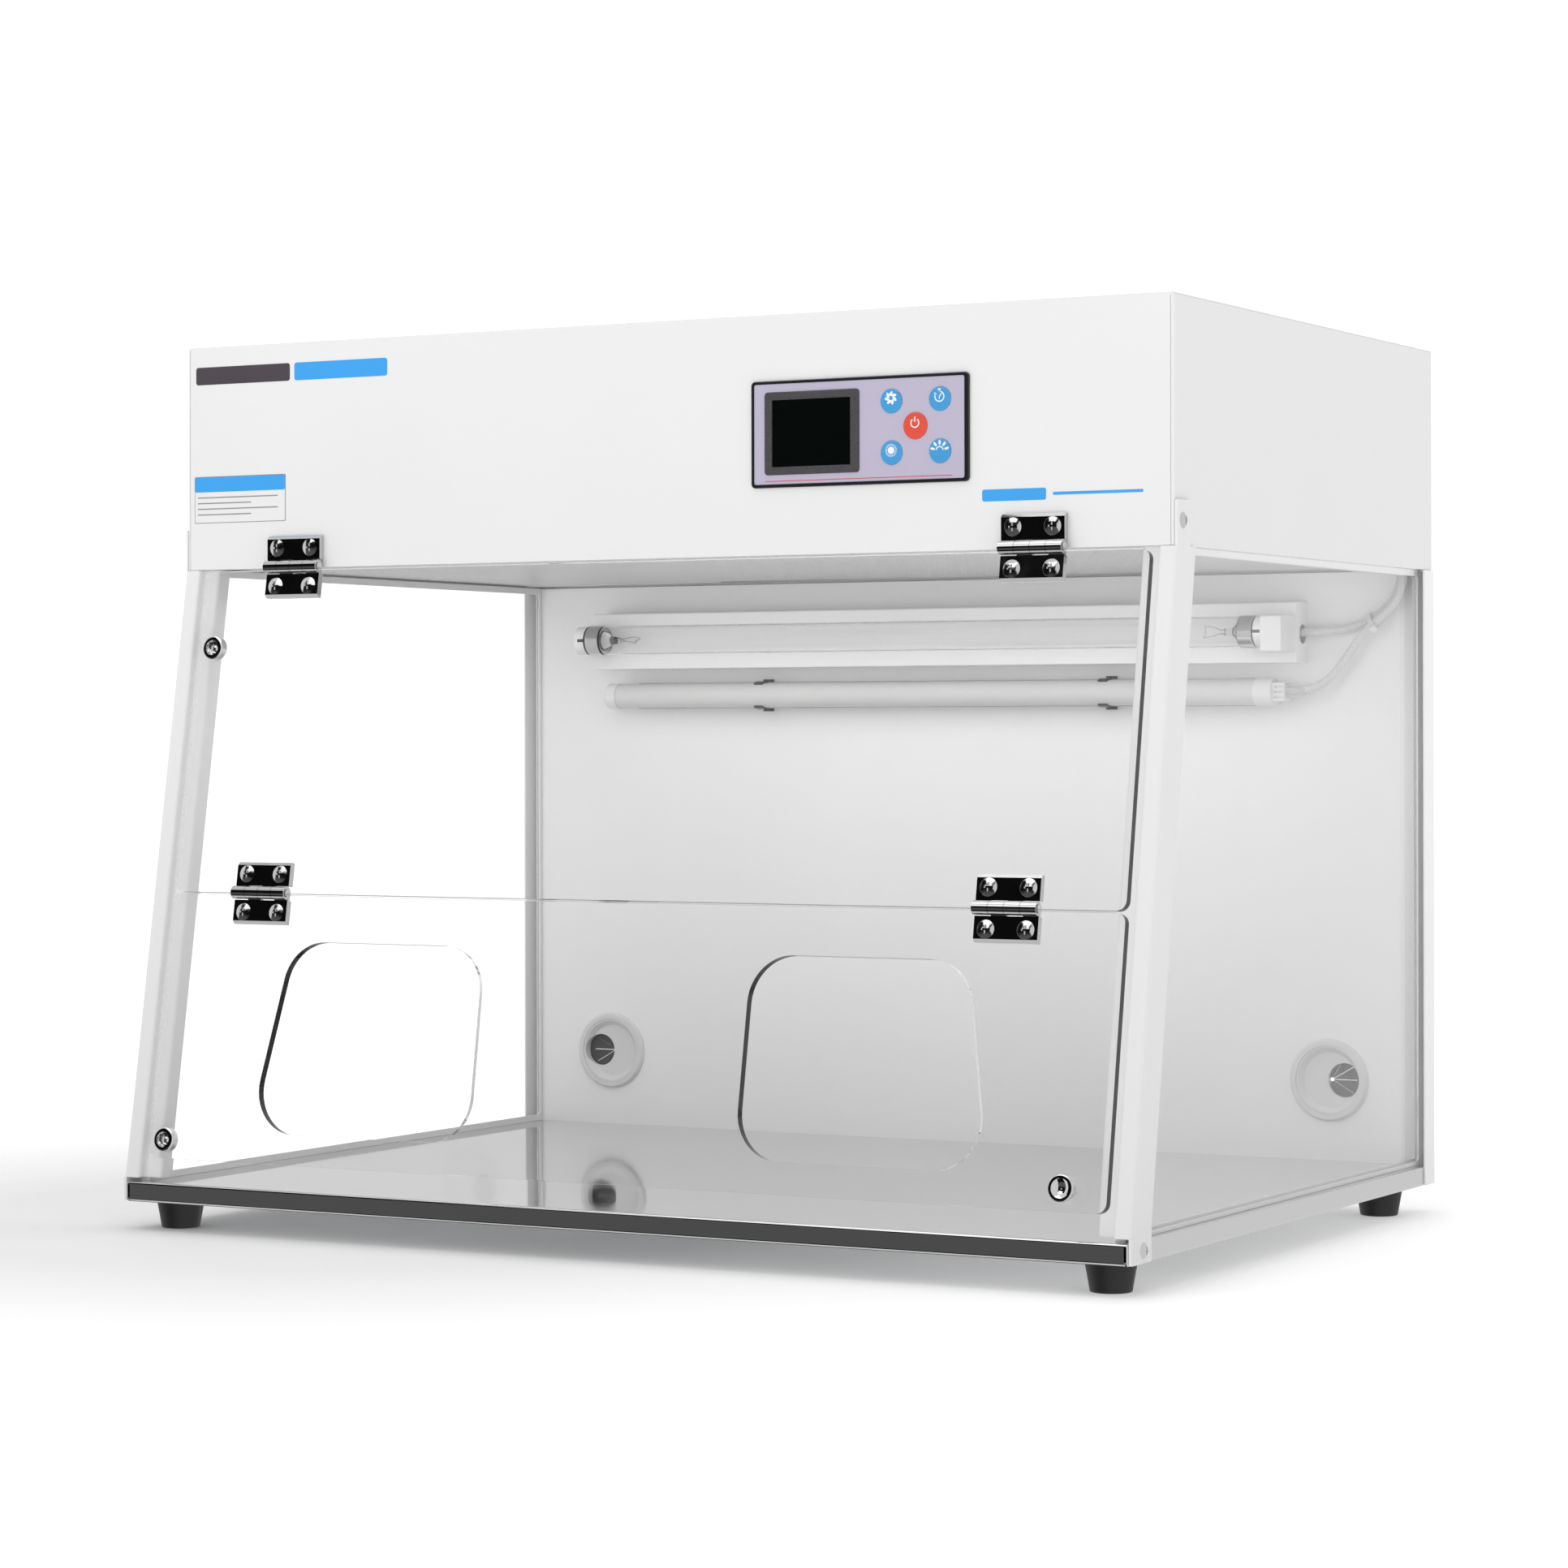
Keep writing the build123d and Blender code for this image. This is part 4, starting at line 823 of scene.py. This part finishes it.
class BENCH_OT_leads(bpy.types.Operator):
    """Braided sleeves on the two lamp leads, frayed where one meets its plug"""
    bl_idname = "bench.leads"
    bl_label = "Lamp leads"

    def execute(self, context):
        radius = context.scene.bench_size.sleeve_radius
        runs = []
        for name, route in (("uv", UV_LEAD), ("led", LED_LEAD)):
            points = [Vector(p) * MM for p in route]
            runs.append(smooth_line(points, radius, name, sides=4, resolution=8))
        sleeves = settle(join(runs), "lamp_lead_sleeves", "cabinet", "lead_sleeve")
        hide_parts("lamp_leads")
        self.fray(Vector(LED_LEAD[0]) * MM, Vector(LED_LEAD[1]) * MM)
        return {"FINISHED"}

    def fray(self, start, end):
        """Loose strands that spread over the notched plug."""
        count, root_radius, bulge, strand_radius = 22, 3.25 * MM, 0.7 * MM, 0.28 * MM
        strands = []
        for i in range(count):
            angle = 2 * pi * i / count
            across = Vector((0.0, cos(angle), sin(angle)))
            spread = 4.6 * MM + 0.9 * MM * sin(3.0 * angle + 0.7)
            overhang = 1.4 * MM * sin(5.0 * angle) - 1.5 * MM
            tip = start + Vector((overhang, 0.0, 0.0)) + across * spread
            root = end + across * root_radius
            bend = (tip + root) / 2 + across * bulge
            strands.append(smooth_line([tip, bend, root], strand_radius, "strand", sides=0, resolution=4))
        settle(join(strands), "led_sleeve_fray", "cabinet", "lead_sleeve", "white_plastic")


# ---- roof of the chamber ------------------------------------------------------------
ROOF_RIM = 7.0 * MM                     # plain edge at the front and at the sides
ROOF_REAR = 32.5 * MM                   # plain strip along the rear
NOTCH_X = 370.0 * MM                    # the notch for the leads starts here
NOTCH_DEPTH = 30.3 * MM


class BENCH_OT_roof(bpy.types.Operator):
    """Perforated air diffuser in the roof of the chamber, in a left and a right half"""
    bl_idname = "bench.roof"
    bl_label = "Perforated roof"

    def execute(self, context):
        size = context.scene.bench_size
        low, high = ROOF
        front, back = low.y + ROOF_RIM, high.y - ROOF_REAR
        outer = high.x - ROOF_RIM
        columns = round(outer / size.hole_pitch)
        rows = round((back - front) / size.hole_pitch)
        for side, name in ((-1, "diffuser_left"), (1, "diffuser_right")):
            alone()
            bpy.ops.mesh.primitive_grid_add(
                x_subdivisions=columns, y_subdivisions=rows, size=1.0,
                location=(side * outer / 2, (front + back) / 2, low.z),
            )
            sheet = bpy.context.object
            sheet.scale = (outer, back - front, 1.0)
            bake_place(sheet)
            edit_all(sheet)
            bpy.ops.mesh.inset(thickness=size.hole_web, use_individual=True)
            bpy.ops.mesh.delete(type="FACE")
            bpy.ops.object.mode_set(mode="OBJECT")
            sheet = join([sheet] + self.margins(side, outer, front, back))
            outward(sheet)
            alone(sheet)
            wall = sheet.modifiers.new("wall", "SOLIDIFY")
            wall.thickness = high.z - low.z
            wall.offset = 1.0 if self.faces_up(sheet) else -1.0
            bpy.ops.object.modifier_apply(modifier=wall.name)
            outward(sheet)
            settle(sheet, name, "cabinet", "diffuser_coat")
            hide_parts("diffuser_plate")
        return {"FINISHED"}

    def faces_up(self, sheet):
        return sum(face.normal.z for face in sheet.data.polygons) > 0

    def margins(self, side, outer, front, back):
        """Plain edges of the sheet, with the notch for the leads in the rear right corner."""
        low, high = ROOF
        rear_end = NOTCH_X if side > 0 else high.x
        strips = [
            ((0.0, high.x), (low.y, front)),
            ((outer, high.x), (front, back)),
            ((0.0, rear_end), (back, high.y)),
        ]
        if side > 0:
            strips.append(((NOTCH_X, high.x), (back, high.y - NOTCH_DEPTH)))
        pieces = []
        for (x0, x1), (y0, y1) in strips:
            alone()
            centre = (side * (x0 + x1) / 2, (y0 + y1) / 2, low.z)
            bpy.ops.mesh.primitive_plane_add(size=1.0, location=centre)
            strip = bpy.context.object
            strip.scale = (x1 - x0, y1 - y0, 1.0)
            pieces.append(bake_place(strip))
        return pieces


# ---- lamp details -------------------------------------------------------------------
class BENCH_OT_filaments(bpy.types.Operator):
    """Glass mounts, support wires and coiled filaments at both ends of the clear lamp"""
    bl_idname = "bench.filaments"
    bl_label = "Lamp filaments"

    def mount(self, end_x, way, lean):
        """Mount that stands on the cap at end_x and reaches along way."""
        axis = middle("uv_tube")

        def place(along, across=0.0, up=0.0):
            turn_y = across * cos(lean) - up * sin(lean)
            turn_z = across * sin(lean) + up * cos(lean)
            return Vector((end_x + way * along * MM, axis.y + turn_y * MM, axis.z + turn_z * MM))

        stem = join([
            rod_piece(place(0.4), place(6.0), 8.6 * MM, 3.6 * MM, sides=20),
            rod_piece(place(6.0), place(13.0), 3.6 * MM, 2.5 * MM, sides=20),
            rod_piece(place(13.0), place(16.5), 2.9 * MM, 1.4 * MM, sides=20),
        ])
        rounded(outward(stem), 0.4 * MM)
        wires = []
        for hand in (-1, 1):
            route = [
                place(12.0, hand * 0.9), place(18.0, hand * 1.6, 0.5), place(23.0, hand * 4.0, 1.0),
                place(28.5, hand * 4.6, 0.4), place(31.0, hand * 4.2, -0.6),
            ]
            wires.append(smooth_line(route, 0.38 * MM, "wire", sides=1))
        turns, steps, coil_radius, half_span = 11, 132, 0.55, 4.2
        helix = []
        for i in range(steps + 1):
            share = i / steps
            angle = 2 * pi * turns * share
            along = 30.5 - 1.1 * sin(pi * share) + coil_radius * cos(angle)
            helix.append(place(along, half_span * (2 * share - 1), coil_radius * sin(angle) - 0.6))
        wires.append(smooth_line(helix, 0.16 * MM, "coil", sides=0, resolution=2))
        return stem, join(wires)

    def execute(self, context):
        ends = (("left", UV_GLASS[0].x + 1.0 * MM, 1, 0.5), ("right", UV_GLASS[1].x - 1.0 * MM, -1, 1.25))
        for name, end_x, way, lean in ends:
            stem, wires = self.mount(end_x, way, lean)
            settle(stem, "uv_mount_" + name, "cabinet", "tube_glass")
            settle(wires, "uv_filament_" + name, "cabinet", "tube_cap_metal", "pin_steel")
        return {"FINISHED"}


class BENCH_OT_lampholders(bpy.types.Operator):
    """Dark blocks painted as the shade inside the lampholders' slots, with the contacts in them, and
    insulating rings on the caps
    """
    bl_idname = "bench.lampholders"
    bl_label = "Lampholder contacts"

    def execute(self, context):
        ring_radius, ring_length, slot_width, slot_height = 12.1 * MM, 0.9 * MM, 2.2 * MM, 2.4 * MM
        axis = middle("uv_tube")
        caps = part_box("uv_tube_caps")
        pieces = []
        for cap_x, way, reach in ((caps[0].x, -1, 6.4), (caps[1].x, 1, 6.8)):
            ring_end = (cap_x + way * ring_length, axis.y, axis.z)
            ring = rod_piece((cap_x, axis.y, axis.z), ring_end, ring_radius, sides=40)
            pieces.append(rounded(ring, 0.25 * MM))
            # Painted shade: a dark block stands for each holder's slot, giving the shade inside the slot
            # and its contact one colour.
            alone()
            centre = (cap_x + way * reach / 2 * MM, axis.y - 11.0 * MM, axis.z)
            bpy.ops.mesh.primitive_cube_add(size=1.0, location=centre)
            slot = bpy.context.object
            slot.scale = (reach * MM, slot_width, slot_height)
            pieces.append(rounded(bake_place(slot), 0.3 * MM))
        settle(join(pieces), "lampholder_contacts", "cabinet", "clip_dark")
        return {"FINISHED"}


class BENCH_OT_tube_back(bpy.types.Operator):
    """Metal backing channel along the rear of the light tube"""
    bl_idname = "bench.tube_back"
    bl_label = "Light tube backing"

    def execute(self, context):
        low, high = LED_GLASS
        axis = middle("led_tube")
        radius = 10.35 * MM
        start = (low.x + 17.0 * MM, axis.y, axis.z)
        end = (high.x - 1.0 * MM, axis.y, axis.z)
        shell = rod_piece(start, end, radius, sides=48, cap="NOTHING")
        edit_all(shell)
        bpy.ops.mesh.bisect(
            plane_co=(0.0, axis.y + 0.6 * MM, 0.0), plane_no=(0.0, 1.0, 0.0),
            clear_inner=True, clear_outer=False, use_fill=False,
        )
        bpy.ops.object.mode_set(mode="OBJECT")
        alone(shell)
        wall = shell.modifiers.new("wall", "SOLIDIFY")
        wall.thickness = 0.5 * MM
        wall.offset = 0.0
        bpy.ops.object.modifier_apply(modifier=wall.name)
        outward(shell)
        settle(rounded(shell, 0.1 * MM, 1), "led_tube_backing", "cabinet", "tube_cap_metal")
        return {"FINISHED"}


# ---- panel --------------------------------------------------------------------------
class BENCH_OT_panel_line(bpy.types.Operator):
    """Fine red line printed along the bottom of the control panel"""
    bl_idname = "bench.panel_line"
    bl_label = "Panel line"

    def execute(self, context):
        low, high = PANEL
        depth = context.scene.bench_size.print_depth
        left, right = low.x + 8.4 * MM, high.x - 9.1 * MM
        centre = ((left + right) / 2, low.y + PRINT_SINK, low.z + 2.1 * MM)
        line = thicken(bar(centre, right - left, 0.55 * MM), depth)
        settle(line, "panel_red_line", "cabinet", "button_red", "line_red")
        return {"FINISHED"}


class BENCH_OT_key_symbols(bpy.types.Operator):
    """White symbols printed on the five keys: fan, timer, power, lamp and light"""
    bl_idname = "bench.key_symbols"
    bl_label = "Key symbols"

    def fan(self, at, blades):
        pieces = []
        for i in range(blades):
            angle = 2 * pi * i / blades
            centre = at(2.9 * sin(angle), 2.9 * cos(angle))
            pieces.append(disc(centre, 1.95 * MM, sides=14, squash=0.5, lean=angle + 0.6))
        return pieces

    def timer(self, at, blades):
        return [
            arc(at(0.0, 0.0), 3.75 * MM, 0.8 * MM, radians(-215), radians(80), steps=48),
            bar(at(0.0, 4.9), 2.4 * MM, 0.8 * MM),
            bar(at(0.0, 4.1), 0.8 * MM, 1.2 * MM),
            bar(at(0.7, 0.9), 0.7 * MM, 2.8 * MM, lean=radians(40)),
            bar(at(-0.1, -1.0), 0.7 * MM, 1.6 * MM),
            disc(at(-3.1, 1.8), 1.2 * MM, sides=3, lean=radians(-25)),
        ]

    def power(self, at, blades):
        return [
            arc(at(0.0, 0.0), 3.35 * MM, 0.8 * MM, radians(-238), radians(58), steps=48),
            bar(at(0.0, 2.5), 0.85 * MM, 3.6 * MM),
        ]

    def lamp(self, at, blades):
        pieces, rays = [disc(at(0.0, 0.0), 2.5 * MM, sides=32)], 24
        for i in range(rays):
            angle = 2 * pi * i / rays
            pieces.append(bar(at(3.85 * sin(angle), 3.85 * cos(angle)), 0.38 * MM, 1.4 * MM, lean=angle))
        return pieces

    def light(self, at, blades):
        pieces = [arc(at(0.0, 0.0), 3.0 * MM, 0.75 * MM, radians(5), radians(175), steps=48)]
        for i in range(5):
            angle = radians(-76 + 38 * i)
            centre = at(5.4 * sin(angle), 5.4 * cos(angle))
            pieces.append(disc(centre, 1.75 * MM, sides=16, squash=0.5, lean=angle))
        return pieces

    def execute(self, context):
        size = context.scene.bench_size
        # how each symbol is drawn, and how far above the key's middle it sits in millimetres
        symbols = {
            "fan": (self.fan, 2.0), "timer": (self.timer, 1.4), "power": (self.power, 1.8),
            "uv": (self.lamp, 1.5), "light": (self.light, 0.2),
        }
        for key, (draw, raised) in symbols.items():
            centre = middle("button_" + key)
            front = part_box("button_" + key)[0].y + PRINT_SINK

            def at(across, up):
                return Vector((centre.x + across * MM, front, centre.z + (up + raised) * MM))

            pieces = [thicken(piece, size.print_depth) for piece in draw(at, size.fan_blades)]
            settle(join(pieces), "symbol_" + key, "key_" + key, "white_plastic", "symbol_white")
        return {"FINISHED"}


# ---- plain marks on the head --------------------------------------------------------
class BENCH_OT_head_marks(bpy.types.Operator):
    """Plain stripes and a blank ruled label on the front of the head"""
    bl_idname = "bench.head_marks"
    bl_label = "Head marks"

    def print_bar(self, name, x, z, slot, finish, corner=0.0, layer=0):
        """Print between limits in millimetres: x from the middle, z from the head's bottom edge."""
        depth = bpy.context.scene.bench_size.print_depth
        front = HEAD[0].y + PRINT_SINK - layer * depth
        centre = ((x[0] + x[1]) / 2 * MM, front, HEAD[0].z + (z[0] + z[1]) / 2 * MM)
        piece = bar(centre, (x[1] - x[0]) * MM, (z[1] - z[0]) * MM, corner=corner * MM)
        return settle(thicken(piece, depth), name, "cabinet", slot, finish)

    def execute(self, context):
        self.print_bar("stripe_dark", (-390.0, -305.0), (137.0, 150.0), "black_plastic", "stripe_dark", 2.0)
        self.print_bar("stripe_blue", (-301.0, -219.0), (137.0, 150.0), "button_blue", "stripe_blue", 2.0)
        self.print_bar("stripe_short", (259.0, 306.0), (32.0, 40.0), "button_blue", "stripe_blue", 1.5)
        self.print_bar("stripe_fine", (311.0, 376.0), (35.0, 37.0), "button_blue", "stripe_blue", 0.6)
        self.print_bar("label_edge", (-391.5, -309.0), (34.5, 69.0), "black_plastic", "rule_grey", 1.2)
        self.print_bar("label_blank", (-391.0, -309.5), (35.0, 68.5), "white_coat", "white_plastic", 1.1, 1)
        self.print_bar("label_band", (-391.0, -309.5), (57.5, 68.5), "button_blue", "stripe_blue", 1.1, 2)
        for i in range(4):
            end = -316.0 if i % 2 == 0 else -340.0
            height = 53.0 - 4.2 * i
            self.print_bar(
                "label_rule_" + str(i + 1), (-388.5, end), (height, height + 0.8),
                "black_plastic", "rule_grey", 0.0, 2,
            )
        return {"FINISHED"}


# ---- panel in the sidebar and registration ------------------------------------------
OPERATORS = (
    BENCH_OT_finishes, BENCH_OT_studio, BENCH_OT_leads, BENCH_OT_roof, BENCH_OT_filaments,
    BENCH_OT_lampholders, BENCH_OT_tube_back, BENCH_OT_panel_line, BENCH_OT_key_symbols,
    BENCH_OT_head_marks,
)
SETTINGS = {
    "bench_finish": BenchFinishSettings,
    "bench_size": BenchSizeSettings,
    "bench_studio": BenchStudioSettings,
}


class BENCH_PT_sidebar(bpy.types.Panel):
    """Settings and steps of the bench"""
    bl_idname = "BENCH_PT_sidebar"
    bl_label = "Clean bench"
    bl_space_type = "VIEW_3D"
    bl_region_type = "UI"
    bl_category = "Bench"

    def draw(self, context):
        for settings, group in SETTINGS.items():
            box = self.layout.box()
            for name in group.__annotations__:
                box.prop(getattr(context.scene, settings), name)
        for operator in OPERATORS:
            self.layout.operator(operator.bl_idname)


def register():
    for group in SETTINGS.values():
        bpy.utils.register_class(group)
    for operator in OPERATORS:
        bpy.utils.register_class(operator)
    bpy.utils.register_class(BENCH_PT_sidebar)
    for name, group in SETTINGS.items():
        setattr(bpy.types.Scene, name, PointerProperty(type=group))


def unregister():
    for name in SETTINGS:
        delattr(bpy.types.Scene, name)
    bpy.utils.unregister_class(BENCH_PT_sidebar)
    for operator in reversed(OPERATORS):
        bpy.utils.unregister_class(operator)
    for group in SETTINGS.values():
        bpy.utils.unregister_class(group)


def main():
    register()
    bpy.ops.bench.finishes()
    bpy.ops.bench.studio()
    bpy.ops.bench.leads()
    bpy.ops.bench.roof()
    bpy.ops.bench.filaments()
    bpy.ops.bench.lampholders()
    bpy.ops.bench.tube_back()
    bpy.ops.bench.panel_line()
    bpy.ops.bench.key_symbols()
    bpy.ops.bench.head_marks()


if __name__ == "__main__":
    main()
